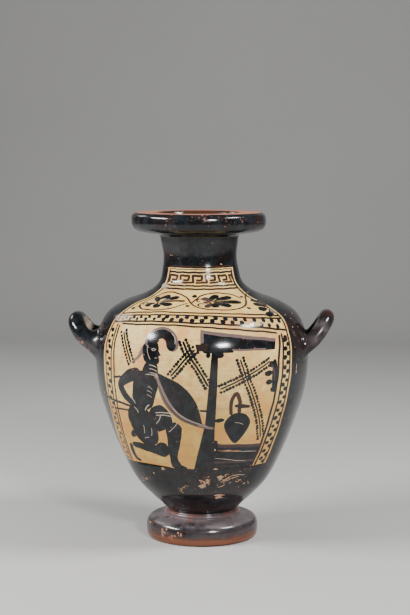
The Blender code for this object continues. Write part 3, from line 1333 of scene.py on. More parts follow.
@dataclass
class Picture:
    """Everything that is painted in the panel."""

    frame: Frame = field(default_factory=Frame)
    meander: Meander = field(default_factory=Meander)
    shoulder: Shoulder = field(default_factory=Shoulder)
    warrior: Warrior = field(default_factory=Warrior)
    fountain: Fountain = field(default_factory=Fountain)
    branches: Sequence[Branch] = (
        Branch(((-11.8, 219.9), (-4.6, 204.9), (5, 190), (14.4, 173.5)), stem_width=2.4),
        Branch(((1, 211), (-8, 202), (-24, 183.7)), stem_width=2.1),
        Branch(((47.2, 200.9), (54, 182.7), (65.4, 157), (76, 134), (84, 112.5)), stem_width=1.8),
        Branch(((26.5, 170.6), (40, 176.2), (55, 182.4), (82.5, 196.6)), stem_width=1.8),
        Branch(((-84, 225.5), (-78, 212.5), (-70, 194)), stem_width=2.2, spread=3.8),
    )

    def paint(self, canvas: Canvas) -> None:
        """Paint the panel from back to front.

        Args:
            canvas: the sheet.
        """
        self.frame.paint(canvas)
        self.meander.paint(canvas, self.frame)
        self.shoulder.paint(canvas)
        for branch in self.branches:
            branch.paint(canvas)
        self.fountain.paint(canvas, self.frame)
        self.warrior.paint(canvas)


@dataclass
class WearMarks:
    """Chips where the gloss has come off, in loose clusters below the picture and round the neck."""

    # Each cluster: across, up, spread across, spread up, how many chips, and their size
    clusters: Sequence[tuple[float, float, float, float, int, float]] = (
        (15, 62, 4.2, 3, 15, 1.15), (7, 55.6, 2.2, 0.8, 3, 1), (40, 65, 3.4, 2, 10, 1.1),
        (41, 37.6, 2.6, 1.8, 11, 1.5), (47.5, 35.6, 2, 0.7, 3, 0.9), (62, 59.2, 2.2, 0.6, 3, 0.8),
        (84, 57, 3, 1.4, 3, 0.8), (71, 50.6, 1.6, 0.5, 2, 0.7), (56, 65, 11, 4, 8, 0.5),
        (20, 49, 16, 5, 8, 0.4), (40, 57, 9, 3.4, 9, 0.5), (-26.5, 48.6, 2.4, 0.6, 4, 1),
        (-21, 55.6, 2.4, 1.2, 4, 1), (-49, 75.4, 1, 0.8, 2, 1.1), (-70, 69, 1.6, 0.8, 2, 0.8),
        (-95, 57, 8, 2.6, 11, 0.5), (-110, 54, 5, 2, 6, 0.5), (-94, 336, 4, 5, 3, 0.5),
        (30, 330, 30, 12, 6, 0.35), (122, 213, 5, 34, 8, 0.5), (-131, 200, 5, 34, 6, 0.5),
        (150, 228, 12, 8, 6, 0.6), (-152, 226, 12, 8, 6, 0.6), (200, 120, 140, 90, 30, 0.5),
        (-250, 120, 100, 90, 24, 0.5),
    )
    scratches: Sequence[Course] = (
        ((36, 60), (44, 64.4), (52, 68.2), (62, 68.8), (75, 67.4)),
        ((46, 61.6), (54, 65.4), (66, 66.4)),
        ((33, 53.6), (40, 55.4), (45, 57.6)),
        ((126.5, 178), (127.5, 189)),
        ((-30, 47.6), (-24, 44.2)),
    )
    scratch_widths: Sequence[float] = (0.6, 0.9, 0.6, 1, 0.5)
    edge_room: float = 6.0
    top_room: float = 4.0

    def paint(self, canvas: Canvas) -> None:
        """Scatter the chips of each cluster by a normal law round its middle.

        Args:
            canvas: the sheet.
        """
        highest, widest = canvas.wall.height - self.top_room, canvas.wall.half - self.edge_room
        for across, up, wide, tall, count, size in self.clusters:
            places = canvas.random.normal((across, up), (wide, tall), (count, 2))
            sizes = size * canvas.random.lognormal(-0.3, 0.45, count)
            stretch = canvas.random.uniform(0.8, 2.2, count)
            for (x, y), half, long in zip(places, sizes, stretch):
                if self.edge_room < y < highest and abs(x) < widest:
                    canvas.dot((x, y), half * long, half, Paint.CHIP, 0.4)
        for line in self.scratches:
            canvas.stroke(smooth_curve(line, 6), self.scratch_widths, Paint.CHIP, canvas.FINE_STEP)


class Value:
    """A shader socket that Python's operators work on: each one adds a Math node."""

    def __init__(self, shader: "Shader", socket: bpy.types.NodeSocket) -> None:
        """Hold a socket and the shader it is in."""
        self.shader = shader
        self.socket = socket

    def math(self, operation: str, *values: Any) -> "Value":
        """A Math node on these values."""
        inputs = dict(enumerate(values))
        return self.shader.node("ShaderNodeMath", {"operation": operation}, inputs)

    def __add__(self, other: Any) -> "Value":
        """Sum."""
        return self.math("ADD", self, other)

    def __radd__(self, other: Any) -> "Value":
        """Sum."""
        return self.math("ADD", other, self)

    def __sub__(self, other: Any) -> "Value":
        """Difference."""
        return self.math("SUBTRACT", self, other)

    def __rsub__(self, other: Any) -> "Value":
        """Difference."""
        return self.math("SUBTRACT", other, self)

    def __mul__(self, other: Any) -> "Value":
        """Product."""
        return self.math("MULTIPLY", self, other)

    def __rmul__(self, other: Any) -> "Value":
        """Product."""
        return self.math("MULTIPLY", other, self)

    def above(self, low: float, high: float) -> "Value":
        """Nothing below low, one above high, and a smooth step between.

        Args:
            low: where the step starts.
            high: where it ends.

        Returns:
            The stepped value.
        """
        settings = {"interpolation_type": "SMOOTHSTEP"}
        inputs = {"Value": self, "From Min": low, "From Max": high}
        return self.shader.node("ShaderNodeMapRange", settings, inputs)

    def larger(self, other: Any) -> "Value":
        """The larger of two values."""
        return self.math("MAXIMUM", self, other)

    def limited(self) -> "Value":
        """Held between nothing and one."""
        return self.shader.node("ShaderNodeClamp", {}, {0: self})


class Shader:
    """A material's nodes, added one at a time."""

    def __init__(self, name: str) -> None:
        """Start a material with one main shader.

        Args:
            name: the material's name.
        """
        self.material = bpy.data.materials.new(name)
        self.material.use_nodes = True
        self.tree = self.material.node_tree
        self.main = self.tree.nodes["Principled BSDF"]

    def node(self, kind: str, settings: dict[str, Any], inputs: dict[Any, Any], output: Any = 0) -> Value:
        """Add a node.

        Args:
            kind: the node's type.
            settings: its own properties, set first.
            inputs: numbers, colours or Values for its sockets.
            output: the socket that is returned.

        Returns:
            The chosen output.
        """
        made = self.tree.nodes.new(kind)
        for name, value in settings.items():
            setattr(made, name, value)
        for key, value in inputs.items():
            self.feed(made.inputs[key], value)
        return Value(self, made.outputs[output])

    def feed(self, socket: bpy.types.NodeSocket, value: Any) -> None:
        """Link a Value to a socket, or set the socket to a number or colour.

        Args:
            socket: the socket.
            value: what it gets.
        """
        if isinstance(value, Value):
            self.tree.links.new(value.socket, socket)
        else:
            socket.default_value = value

    def mix(self, share: Any, low: Any, high: Any) -> Value:
        """A colour between two."""
        inputs = {0: share, 6: low, 7: high}
        return self.node("ShaderNodeMix", {"data_type": "RGBA"}, inputs, 2)

    def noise(self, place: Value, scale: float, detail: float = 3.0, roughness: float = 0.55) -> Value:
        """Noise from nothing to one."""
        inputs = {"Vector": place, "Scale": scale, "Detail": detail, "Roughness": roughness}
        return self.node("ShaderNodeTexNoise", {}, inputs)

    def layer(self, name: str) -> Value:
        """A face attribute's value."""
        return self.node("ShaderNodeAttribute", {"attribute_name": name}, {}, "Fac")


def colour(red: float, green: float, blue: float) -> tuple[float, float, float, float]:
    """A linear colour with full alpha."""
    return (red, green, blue, 1.0)


@dataclass(frozen=True)
class WornPlace:
    """A ball of space that raises a mark, such as flaked gloss, a brown tinge or a painted sheen: its centre,
    its radius and how much.
    """

    centre: Place
    reach: float
    amount: float


@dataclass(frozen=True)
class Mottle:
    """Noises over the jar, from broad clouds down to single grains, with its places and heights."""

    shader: Shader
    place: Value
    height: Value
    broad: Value
    patchy: Value
    stains: Value
    fine: Value
    flecks: Value
    specks: Value
    brushed: Value

    @staticmethod
    def over(shader: Shader) -> "Mottle":
        """Set up the noises, each at its own scale; the brushed one is drawn out round the jar.

        Args:
            shader: the material that they are for.

        Returns:
            The noises, places and heights.
        """
        place = shader.node("ShaderNodeTexCoord", {}, {}, "Object")
        drawn_out = shader.node("ShaderNodeMapping", {}, {"Vector": place, "Scale": (14.0, 14.0, 420.0)})
        return Mottle(
            shader=shader,
            place=place,
            height=shader.node("ShaderNodeSeparateXYZ", {}, {0: place}, "Z"),
            broad=shader.noise(place, 14.0, 2.0),
            patchy=shader.noise(place, 38.0, 4.0, 0.6),
            stains=shader.noise(place, 120.0, 4.0, 0.6),
            fine=shader.noise(place, 700.0, 4.0, 0.65),
            flecks=shader.noise(place, 312.5, 3.0, 0.6),
            specks=shader.noise(place, 380.0, 1.0),
            brushed=shader.noise(drawn_out, 1.0, 3.0),
        )

    def near(self, start: Value | float, spots: Sequence[WornPlace]) -> Value | float:
        """Raise a value inside each ball of space, by how near its centre is.

        Args:
            start: the value outside the balls.
            spots: the balls and their amounts.

        Returns:
            The raised value.
        """
        raised = start
        for spot in spots:
            ends = {0: self.place, 1: spot.centre}
            apart = self.shader.node("ShaderNodeVectorMath", {"operation": "DISTANCE"}, ends, "Value")
            inputs = {"Value": apart, "From Min": spot.reach * 0.3, "From Max": spot.reach}
            inputs |= {"To Min": spot.amount, "To Max": 0.0}
            settings = {"interpolation_type": "SMOOTHSTEP"}
            raised = raised + self.shader.node("ShaderNodeMapRange", settings, inputs)
        return raised


@dataclass(frozen=True)
class FiredClay:
    """The jar's finish: pale slipped clay, black gloss and added purple, worn and fired unevenly, with
    painted sheen in places: bluish clouds on the gloss, grey on the foot's top and on the handle roots.
    """

    cream: tuple = colour(0.70, 0.50, 0.185)
    tan: tuple = colour(0.51, 0.285, 0.062)
    yellow: tuple = colour(0.62, 0.44, 0.112)
    orange: tuple = colour(0.62, 0.25, 0.070)
    pale: tuple = colour(0.78, 0.64, 0.30)
    dull: tuple = colour(0.40, 0.24, 0.085)
    foot_clay: tuple = colour(0.170, 0.056, 0.024)
    foot_brown: tuple = colour(0.085, 0.032, 0.018)
    lip_clay: tuple = colour(0.29, 0.118, 0.070)
    pale_lip: tuple = colour(0.40, 0.225, 0.145)
    inner_clay: tuple = colour(0.30, 0.15, 0.085)
    black: tuple = colour(0.0058, 0.0056, 0.0060)
    # Blue-black: partly the gloss's own tone, partly a painted bluish reflection
    blue_tone_and_sheen: tuple = colour(0.0105, 0.0145, 0.0180)
    brown_black: tuple = colour(0.0270, 0.0125, 0.0100)
    wash: tuple = colour(0.080, 0.030, 0.015)
    purple: tuple = colour(0.100, 0.058, 0.058)
    cut: tuple = colour(0.57, 0.47, 0.37)
    scuffed: tuple = colour(0.085, 0.030, 0.018)
    flaked: tuple = colour(0.45, 0.22, 0.12)
    dull_flake: tuple = colour(0.19, 0.075, 0.050)
    # Grey-purple: dust, and a painted sheen on the foot's upward-facing top and on the handle roots
    dust_and_sheen: tuple = colour(0.128, 0.103, 0.109)
    worn: Sequence[WornPlace] = (
        WornPlace((0.010, -0.077, 0.076), 0.013, 0.19),
        WornPlace((0.028, -0.075, 0.078), 0.011, 0.18),
        WornPlace((0.046, -0.066, 0.079), 0.022, 0.10),
        WornPlace((-0.056, -0.051, 0.071), 0.020, 0.11),
        WornPlace((-0.010, -0.070, 0.068), 0.024, 0.11),
        WornPlace((0.010, -0.071, 0.347), 0.012, 0.19),
        WornPlace((0.030, -0.064, 0.345), 0.015, 0.15),
        WornPlace((0.046, -0.054, 0.344), 0.013, 0.13),
        WornPlace((-0.004, -0.072, 0.347), 0.006, 0.22),
        WornPlace((-0.030, -0.064, 0.341), 0.012, 0.13),
        WornPlace((0.064, -0.030, 0.340), 0.016, 0.13),
        WornPlace((-0.036, -0.047, 0.0130), 0.0090, 0.27),
        WornPlace((-0.028, -0.053, 0.0085), 0.0060, 0.30),
        WornPlace((-0.020, -0.056, 0.0130), 0.0060, 0.22),
        WornPlace((-0.054, -0.022, 0.020), 0.012, 0.18),
        WornPlace((0.044, -0.038, 0.018), 0.026, 0.07),
        WornPlace((-0.129, -0.031, 0.213), 0.010, 0.21),
        WornPlace((-0.118, -0.031, 0.205), 0.007, 0.22),
        WornPlace((0.127, -0.024, 0.246), 0.009, 0.22),
        WornPlace((0.098, -0.045, 0.235), 0.024, 0.05),
        WornPlace((0.060, 0.075, 0.110), 0.070, 0.13),
        WornPlace((-0.070, 0.060, 0.240), 0.060, 0.12),
    )
    browned: Sequence[WornPlace] = (
        WornPlace((0.134, -0.006, 0.247), 0.017, 1.5),
        WornPlace((0.110, -0.040, 0.225), 0.045, 0.4),
        WornPlace((-0.110, 0.020, 0.150), 0.060, 0.5),
        WornPlace((0.030, 0.110, 0.170), 0.070, 0.5),
    )
    # Places at the handle roots, the right one at its front: rougher gloss, greyed by a painted sheen
    rubbed_and_sheen_places: Sequence[WornPlace] = (
        WornPlace((0.124, -0.034, 0.228), 0.021, 1.3),
        WornPlace((-0.118, -0.034, 0.214), 0.016, 0.7),
    )
    shoulder_heights: Pair = (0.232, 0.258)
    lower_heights: Pair = (0.095, 0.195)
    low_heights: Pair = (0.070, 0.098)
    inner_heights: Pair = (0.270, 0.300)
    lip_heights: Pair = (0.325, 0.332)
    foot_heights: Pair = (0.026, 0.030)
    bead_starts: Pair = (0.0225, 0.0240)
    bead_ends: Pair = (0.0292, 0.0302)
    foot_top_heights: Pair = (0.018, 0.021)
    foot_side_heights: Pair = (0.004, 0.012)
    rust_heights: Pair = (0.0085, 0.0145)
    shine: float = 0.42
    relief_strength: float = 0.3
    relief_depth: float = 0.0005

    def slipped(self, mottle: Mottle) -> Value:
        """The slipped clay of the panel: creamier over the shoulder, with orange and yellow clouds below.

        Args:
            mottle: the jar's noises.

        Returns:
            The clay's colour.
        """
        mix, patchy, stains, fine = mottle.shader.mix, mottle.patchy, mottle.stains, mottle.fine
        shoulder = mottle.height.above(*self.shoulder_heights)
        lower = 1 - mottle.height.above(*self.lower_heights)
        clay = mix((mottle.broad.above(0.42, 0.60) * 0.5 + lower * 0.85).limited(), self.cream, self.tan)
        clay = mix(patchy.above(0.49, 0.62) * (0.58 - shoulder * 0.45), clay, self.orange)
        clay = mix((1 - patchy).above(0.50, 0.64) * 0.6, clay, self.yellow)
        clay = mix(stains.above(0.52, 0.66) * (0.6 - shoulder * 0.3), clay, self.orange)
        clay = mix((1 - stains).above(0.54, 0.70) * (0.5 - lower * 0.4), clay, self.pale)
        clay = mix(mottle.brushed.above(0.50, 0.66) * (0.30 + lower * 0.32), clay, self.dull)
        clay = mix(fine.above(0.50, 0.70) * 0.55, clay, self.dull)
        return mix(fine.above(0.66, 0.72) * (0.3 + lower * 0.3), clay, self.wash)

    def earth(self, mottle: Mottle) -> Value:
        """Clay with nothing on it: one colour for the lip, one for the inside, one for the foot, stained.

        Args:
            mottle: the jar's noises.

        Returns:
            The clay's colour.
        """
        mix = mottle.shader.mix
        earth = mix(1 - mottle.height.above(*self.inner_heights), self.lip_clay, self.inner_clay)
        earth = mix(1 - mottle.height.above(*self.foot_heights), earth, self.foot_clay)
        earth = mix(mottle.patchy.above(0.45, 0.62) * 0.5, earth, self.dull_flake)
        return mix(mottle.stains.above(0.52, 0.66) * 0.5, earth, self.pale_lip)

    def glossed(self, mottle: Mottle) -> Value:
        """The black gloss: blue-black clouds that are partly its own tone and partly a painted bluish
        reflection, and brown where it lies thin, low down and at the foot.

        Args:
            mottle: the jar's noises.

        Returns:
            The gloss's colour.
        """
        low = 1 - mottle.height.above(*self.low_heights)
        thin = mottle.patchy.above(0.52, 0.74) * 0.5 + mottle.stains.above(0.57, 0.68) * 0.6
        thin = thin + mottle.brushed.above(0.50, 0.66) * low * 1.3
        thin = mottle.near(thin * 0.9, self.browned).limited()
        # Blue-black clouds: partly the gloss's own tone, partly a painted bluish reflection
        black = mottle.shader.mix(mottle.stains.above(0.42, 0.60), self.black, self.blue_tone_and_sheen)
        return mottle.shader.mix(thin, black, self.brown_black)

    def painted(self, mottle: Mottle, gloss: Value, wash: Value, purple: Value, bare: Value) -> Value:
        """The paints one over the other, each as thick as its layer says.

        Args:
            mottle: the jar's noises.
            gloss: how much black gloss lies here.
            wash: how much thin brown wash.
            purple: how much added purple.
            bare: how much of the clay has no slip.

        Returns:
            The painted colour.
        """
        mix = mottle.shader.mix
        clay = mix(bare, self.slipped(mottle), self.earth(mottle))
        brown = mix(mottle.stains.above(0.40, 0.62) * 0.7, self.wash, self.brown_black)
        base = mix(gloss, mix(wash, clay, brown), self.glossed(mottle))
        return mix(purple * (0.50 + mottle.stains * 0.9).limited(), base, self.purple)

    def grime_and_sheen(self, mottle: Mottle, base: Value, dust_and_sheen_share: Value) -> Value:
        """The foot's grime and sheen: patches on the bead, grey on its top and side that is partly dust and
        partly a painted sheen, strongest on the top, and rust-brown clay low down.

        Args:
            mottle: the jar's noises.
            base: the colour without it.
            dust_and_sheen_share: how much dust and painted sheen lies here.

        Returns:
            The colour with it.
        """
        mix, height, patchy = mottle.shader.mix, mottle.height, mottle.patchy
        bead = height.above(*self.bead_starts) * (1 - height.above(*self.bead_ends))
        bead = bead * mottle.stains.above(0.36, 0.58)
        base = mix(bead * 0.75, base, mix(patchy.above(0.46, 0.56), self.dull_flake, self.dust_and_sheen))
        base = mix(dust_and_sheen_share, base, self.dust_and_sheen)
        rust = (1 - (height + mottle.stains * 0.006).above(*self.rust_heights)) * (0.75 + patchy * 0.5)
        clay = mix(mottle.brushed.above(0.45, 0.6), self.foot_clay, self.foot_brown)
        return mix(rust.limited(), base, clay)

    def material(self) -> bpy.types.Material:
        """Build the finish from the layers of paint and the place on the jar.

        Returns:
            The material.
        """
        shader = Shader("fired_painted_clay")
        mottle = Mottle.over(shader)
        mix, height, patchy, fine = shader.mix, mottle.height, mottle.patchy, mottle.fine
        gloss, wash, purple, cut, bare = (shader.layer(name) for name in LAYERS)
        dark = gloss * (1 - bare)
        raised = mottle.near(mottle.flecks, self.worn)
        flaked = raised.above(0.775, 0.80) * dark
        pitted = mottle.specks.above(0.735, 0.775) * patchy.above(0.40, 0.55) * dark
        dulled_and_sheen = mottle.near(0.0, self.rubbed_and_sheen_places).limited() * dark
        # Grey on the foot, more on its top than its side: partly dust, partly a painted sheen where the top
        # faces the lights
        dust_and_sheen_share = height.above(*self.foot_top_heights) * 0.6 + height.above(*self.foot_side_heights) * 0.25
        dust_and_sheen_share = (1 - height.above(*self.foot_heights)) * dust_and_sheen_share * patchy.above(0.30, 0.60)

        base = self.painted(mottle, gloss, wash, purple, bare)
        base = mix(raised.above(0.69, 0.76) * dark * 0.85, base, self.scuffed)
        base = mix(flaked, base, mix(height.above(*self.lip_heights), self.flaked, self.dull_flake))
        base = mix(pitted * 0.7, base, self.flaked)
        # Grey-lilac patches at the handle roots: a painted sheen
        base = mix(dulled_and_sheen * patchy.above(0.38, 0.62) * 0.55, base, self.dust_and_sheen)
        base = self.grime_and_sheen(mottle, base, dust_and_sheen_share)
        base = mix(cut * (0.45 + fine * 0.7).limited(), base, self.cut)
        shader.feed(shader.main.inputs["Base Color"], base)

        glassy = gloss.larger(wash) * (1 - cut) * (1 - flaked)
        rough = 0.56 - glassy * 0.46 + patchy * 0.09 + bare * 0.2 + dust_and_sheen_share * 0.2
        rough = rough + raised.above(0.68, 0.78) * 0.1 + dulled_and_sheen * 0.13
        shader.feed(shader.main.inputs["Roughness"], rough.limited())
        relief = mottle.brushed * 0.35 + patchy * 0.5 + fine * 0.06 - flaked * 0.3
        inputs = {"Strength": self.relief_strength, "Distance": self.relief_depth, "Height": relief}
        shader.feed(shader.main.inputs["Normal"], shader.node("ShaderNodeBump", {}, inputs, "Normal"))
        shader.feed(shader.main.inputs["Specular IOR Level"], self.shine)
        return shader.material


@dataclass
class Jar:
    """The jar without its handles: painted wall, lip, mouth, inside, foot and underside."""

    bare_foot_below: float = 1.2
    bead_above: float = 24.6
    bead_within: float = 41.5
    mouth_wash_above: float = 341.0
    inside_gloss_above: float = 262.0
    floor_from: float = 19.0
    inside_step: float = 5.0
    seed: int = 7
    crease_deg: float = 32.0

    def turned(self, outline: Array, paint: Array) -> Surface:
        """A band turned from an outline: its radius carried round on the same columns as the wall.

        Args:
            outline: (radius, height) points in order, from outside low to outside high.
            paint: layers for each span.

        Returns:
            The band's skin.
        """
        turn = np.linspace(-math.pi, math.pi, COLUMNS + 1)
        turn[-1] = turn[0] + math.tau
        radius, height = outline[:, :1], outline[:, 1:] + 0 * turn
        points = np.stack((radius * np.sin(turn), -radius * np.cos(turn), height), axis=-1)
        flat = sagged(points.reshape(-1, 3)).reshape(points.shape)
        return Surface.grid(flat, np.repeat(paint[:, None, :], COLUMNS, axis=1))

    def lower(self) -> Surface:
        """From the middle of the hollow underside round the foot to the joint with the body.

        Returns:
            The skin.
        """
        hollow = smooth_curve(FOOT_HOLLOW, 5)
        side, bead = smooth_curve(FOOT_SIDE, 4), oval_arc(JOINT_BEAD, -30, 65, 10)
        outline = np.vstack((hollow, [STANDING_RING], side, bead, [FOOT_JOINT]))
        middle = (outline[1:] + outline[:-1]) / 2
        under = np.arange(len(middle)) <= len(hollow)
        paint = np.tile(np.array(Paint.GLOSS.value), (len(middle), 1))
        paint[under | (middle[:, 1] < self.bare_foot_below)] = Paint.BARE.value
        paint[(middle[:, 1] > self.bead_above) & (middle[:, 0] < self.bead_within)] = Paint.PURPLE.value
        return self.turned(outline, paint)

    def upper(self, wall: Wall) -> Surface:
        """From the top of the neck round the lip, in through the mouth and down to the floor.

        Args:
            wall: the wall that it follows inside.

        Returns:
            The skin.
        """
        outwards = np.column_stack((wall.slope[:, 1], -wall.slope[:, 0]))
        inner = (wall.line - WALL * outwards)[::-1]
        inner = inner[(inner[:, 1] < NECK_TOP[1]) & (inner[:, 0] > self.floor_from)]
        lip = np.vstack((smooth_curve(LIP_UNDERSIDE, 5), smooth_curve(LIP_EDGE, 5)[1:]))
        inner = resample(inner, self.inside_step)
        outline = np.vstack((lip, LIP_TOP, smooth_curve(MOUTH, 6), inner, JAR_FLOOR))
        height = (outline[1:, 1] + outline[:-1, 1]) / 2
        inside = np.arange(len(height)) >= len(lip) - 1
        flat = height > LIP_HEIGHT - 0.1
        paint = np.tile(np.array(Paint.GLOSS.value), (len(height), 1))
        paint[inside & flat] = Paint.BARE.value
        paint[inside & ~flat & (height > self.mouth_wash_above)] = Paint.TENDRIL.value
        paint[inside & (height < self.inside_gloss_above)] = Paint.BARE.value
        return self.turned(outline, paint)

    def build(self, material: bpy.types.Material) -> bpy.types.Object:
        """Paint the wall, turn the rest and join them into one closed mesh.

        Args:
            material: the jar's finish.

        Returns:
            The jar without its handles.
        """
        wall = Wall()
        canvas = Canvas(wall, self.seed)
        Picture().paint(canvas)
        WearMarks().paint(canvas)
        skin = Surface.joined((canvas.skin(), self.lower(), self.upper(wall)))
        log.info("painted wall: %d outlines, %d triangles", len(canvas.shapes), len(skin.triangles))
        return skin.make("hydria_jar", material, self.crease_deg)


@dataclass
class Handle:
    """A rod of clay between two roots on the wall, each drawn out on to the wall in a fillet.

    path gives the rod's middle, flats the direction square to it in which the rod is half_depth
    thick; half_width is across that. Millimetres.
    """

    name: str
    path: Array
    flats: Array
    half_width: float
    half_depth: float
    flare: float
    reach: float
    sides: int = 40
    fillet_rings: int = 9
    fillet_pull: float = 1.1
    root_depth: float = 0.35
    ring_step: float = 2.2
    eye: Place | None = None
    eye_share: float = 0.72
    crease_deg: float = 50.0

    def direction(self, index: int) -> Array:
        """The way that the path runs at one of its points."""
        return unit(self.path[min(index + 1, len(self.path) - 1)] - self.path[max(index - 1, 0)])

    def ring(self, index: int) -> Array:
        """The rod's section at a point of the path: an oval square to it.

        Args:
            index: the path's point.

        Returns:
            The section's points, the first one repeated at the end.
        """
        angle = np.linspace(0.0, math.tau, self.sides + 1)[:, None]
        across = np.cross(self.direction(index), self.flats[index])
        oval = across * np.cos(angle) * self.half_width + self.flats[index] * np.sin(angle) * self.half_depth
        return self.path[index] + oval

    def crossing(self, wall: Wall, order: Array) -> int:
        """The first point of the path, taken in an order, that stands outside the wall.

        Args:
            wall: the wall.
            order: the points' numbers in that order.

        Returns:
            The point's number.
        """
        points = self.path[order]
        radius = np.hypot(points[:, 0] + lean(points[:, 2]), points[:, 1])
        limit = np.interp(points[:, 2], wall.line[:, 1], wall.line[:, 0])
        return int(order[int(np.argmax(radius > limit))])

    def footprint(self, wall: Wall, index: int, inward: int) -> tuple[Array, Array]:
        """Where the rod would meet the wall, spread by its flare, on the rolled-out wall.

        Each point of the section slides along the rod on to the plane that touches the wall there.

        Args:
            wall: the wall it stands on.
            index: the path's point at the wall.
            inward: 1 if the path runs away from this root, -1 if towards it.

        Returns:
            The middle as (across, up), and the edge's offsets from it.
        """
        here = self.path[index]
        turn = math.atan2(here[0] + float(lean(here[2])), -here[1])
        middle = np.array((turn * BELLY, wall.up_at(here[2])))
        squeeze = float(wall.squeeze(middle[1:])[0])
        normal = wall.place(middle[:1], middle[1:])[1][0]
        east = np.array((math.cos(turn), math.sin(turn), 0.0))
        north = np.cross(normal, east)
        along = self.direction(index) * inward
        offsets = self.ring(index) - here
        reached = offsets - np.outer(offsets @ normal / (along @ normal), along)
        spread = np.linalg.norm(reached, axis=1, keepdims=True)
        limited = np.minimum(spread, max(self.half_width, self.half_depth) * 1.35)
        reached = reached / spread * (limited + self.flare)
        return middle, np.column_stack((reached @ east / squeeze, reached @ north))

    def root(self, wall: Wall, index: int, start: int, inward: int) -> list[Array]:
        """Rings from under the wall out to the rod.

        Each ring's points lie on curves that leave the wall along it and arrive along the rod: a
        cubic between two points with a slope at each.

        Args:
            wall: the wall it stands on.
            index: the path's point at the wall.
            start: the path's point where the rod begins.
            inward: 1 if the path runs away from this root, -1 if towards it.

        Returns:
            Rings from the cap's middle to the last one before the plain rod.
        """
        middle, edge = self.footprint(wall, index, inward)
        rings = [
            wall.place(*(middle + edge * share).T, depth)[0]
            for share, depth in ((0.02, 2.2), (0.5, 2.0), (1.0, self.root_depth))
        ]
        foot, end = rings[-1], self.ring(start)
        leave = unit(wall.place(*(middle + edge * 0.8).T, self.root_depth)[0] - foot)
        arrive = unit(self.path[start + inward] - self.path[start])
        pull = np.linalg.norm(end - foot, axis=1, keepdims=True) * self.fillet_pull
        for t in np.linspace(0.0, 1.0, self.fillet_rings + 1)[1:-1]:
            places = (2 * t**3 - 3 * t**2 + 1) * foot + (-2 * t**3 + 3 * t**2) * end
            slopes = (t**3 - 2 * t**2 + t) * leave + (t**3 - t**2) * arrive
            rings.append(places + slopes * pull)
        return rings

    def facing_in(self, points: Array) -> Array:
        """Which cells look into the loop: their way out of the rod is near the way to its eye.

        Args:
            points: the rings of the handle, one after the other.

        Returns:
            True for each cell that does.
        """
        middle = (points[1:, 1:] + points[:-1, :-1]) / 2
        if self.eye is None:
            return np.zeros(middle.shape[:2], bool)
        core = middle.mean(1, keepdims=True)
        out, inward = unit(middle - core), unit(np.array(self.eye) - core)
        along = np.linspace(-1.0, 1.0, len(middle))[:, None]
        edge = self.eye_share + 0.08 * np.sin(0.9 * np.arange(len(middle)))[:, None] + 1.6 * along**4
        return (out * inward).sum(2) > edge

    def build(self, wall: Wall, material: bpy.types.Material) -> bpy.types.Object:
        """Loft the two roots and the rod between them, and close both ends under the wall.

        Args:
            wall: the wall it stands on.
            material: its finish.

        Returns:
            The handle.
        """
        run = lengths(self.path)
        order = np.arange(len(self.path))
        first = self.crossing(wall, order)
        last = self.crossing(wall, order[::-1])
        start = int(np.searchsorted(run, run[first] + self.reach))
        end = int(np.searchsorted(run, run[last] - self.reach))
        steps = max(8, int((run[end] - run[start]) / self.ring_step))
        chosen = np.searchsorted(run, np.linspace(run[start], run[end], steps))
        rings = self.root(wall, first, start, 1)
        rings += [self.ring(int(index)) for index in chosen]
        rings += self.root(wall, last, end, -1)[::-1]
        points = np.stack(rings)
        points[0], points[-1] = points[0].mean(0), points[-1].mean(0)
        paint = np.tile(np.array(Paint.GLOSS.value), (len(rings) - 1, self.sides, 1))
        paint[self.facing_in(points)] = Paint.RUBBED.value
        skin = Surface.joined((Surface.grid(points, paint),))
        centre = skin.points[skin.triangles].mean(1)
        log.info("%s: %d triangles, middle %s", self.name, len(skin.triangles), centre.mean(0).round(1))
        return skin.make(self.name, material, self.crease_deg)


@dataclass
class SideHandles:
    """The two loops that lift the jar: limbs run outwards and up, and bend upwards to the tip.

    They were rolled by hand, so the left one is a little thicker and sits lower than the right.
    """

    rods: Pair = (8.3, 8.9)
    half_span: float = 24.5
    roots: tuple[Pair, Pair] = ((102.0, 202.0), (102.0, 205.4))
    bends: tuple[Pair, Pair] = ((123.4, 216.4), (125.2, 211.4))
    tips: tuple[Pair, Pair] = ((133.4, 238.6), (135.0, 233.8))
    flares: Pair = (5.6, 12.0)
    reaches: Pair = (12.0, 21.0)
    squareness: float = 2.8
    eye: Pair = (112.0, 226.0)
    rubbed_side: int = -1

    def handle(self, name: str, side: int) -> Handle:
        """One loop: a squared half turn across, and a bent line of radius and height outwards.

        Args:
            name: the piece's name.
            side: 1 for +X, -1 for -X.

        Returns:
            The handle.
        """
        turn = np.linspace(0.0, math.pi, 1201)
        power = 2 / self.squareness
        across = np.abs(np.cos(turn)) ** power * np.sign(np.cos(turn)) * self.half_span
        out = (np.clip(np.sin(turn), 0.0, None) ** power)[:, None]
        which = 0 if side > 0 else 1
        root, bend, tip = (np.array(stations[which]) for stations in (self.roots, self.bends, self.tips))
        here = (1 - out) ** 2 * root + 2 * out * (1 - out) * bend + out**2 * tip
        slope = unit((1 - out) * (bend - root) + out * (tip - bend))
        path = np.column_stack((side * here[:, 0], across, here[:, 1]))
        flats = np.column_stack((-side * slope[:, 1], np.zeros(len(turn)), slope[:, 0]))
        rod = self.rods[which]
        eye = (side * self.eye[0], 0.0, self.eye[1]) if side == self.rubbed_side else None
        return Handle(name, path, flats, rod, rod, self.flares[which], self.reaches[which], eye=eye)


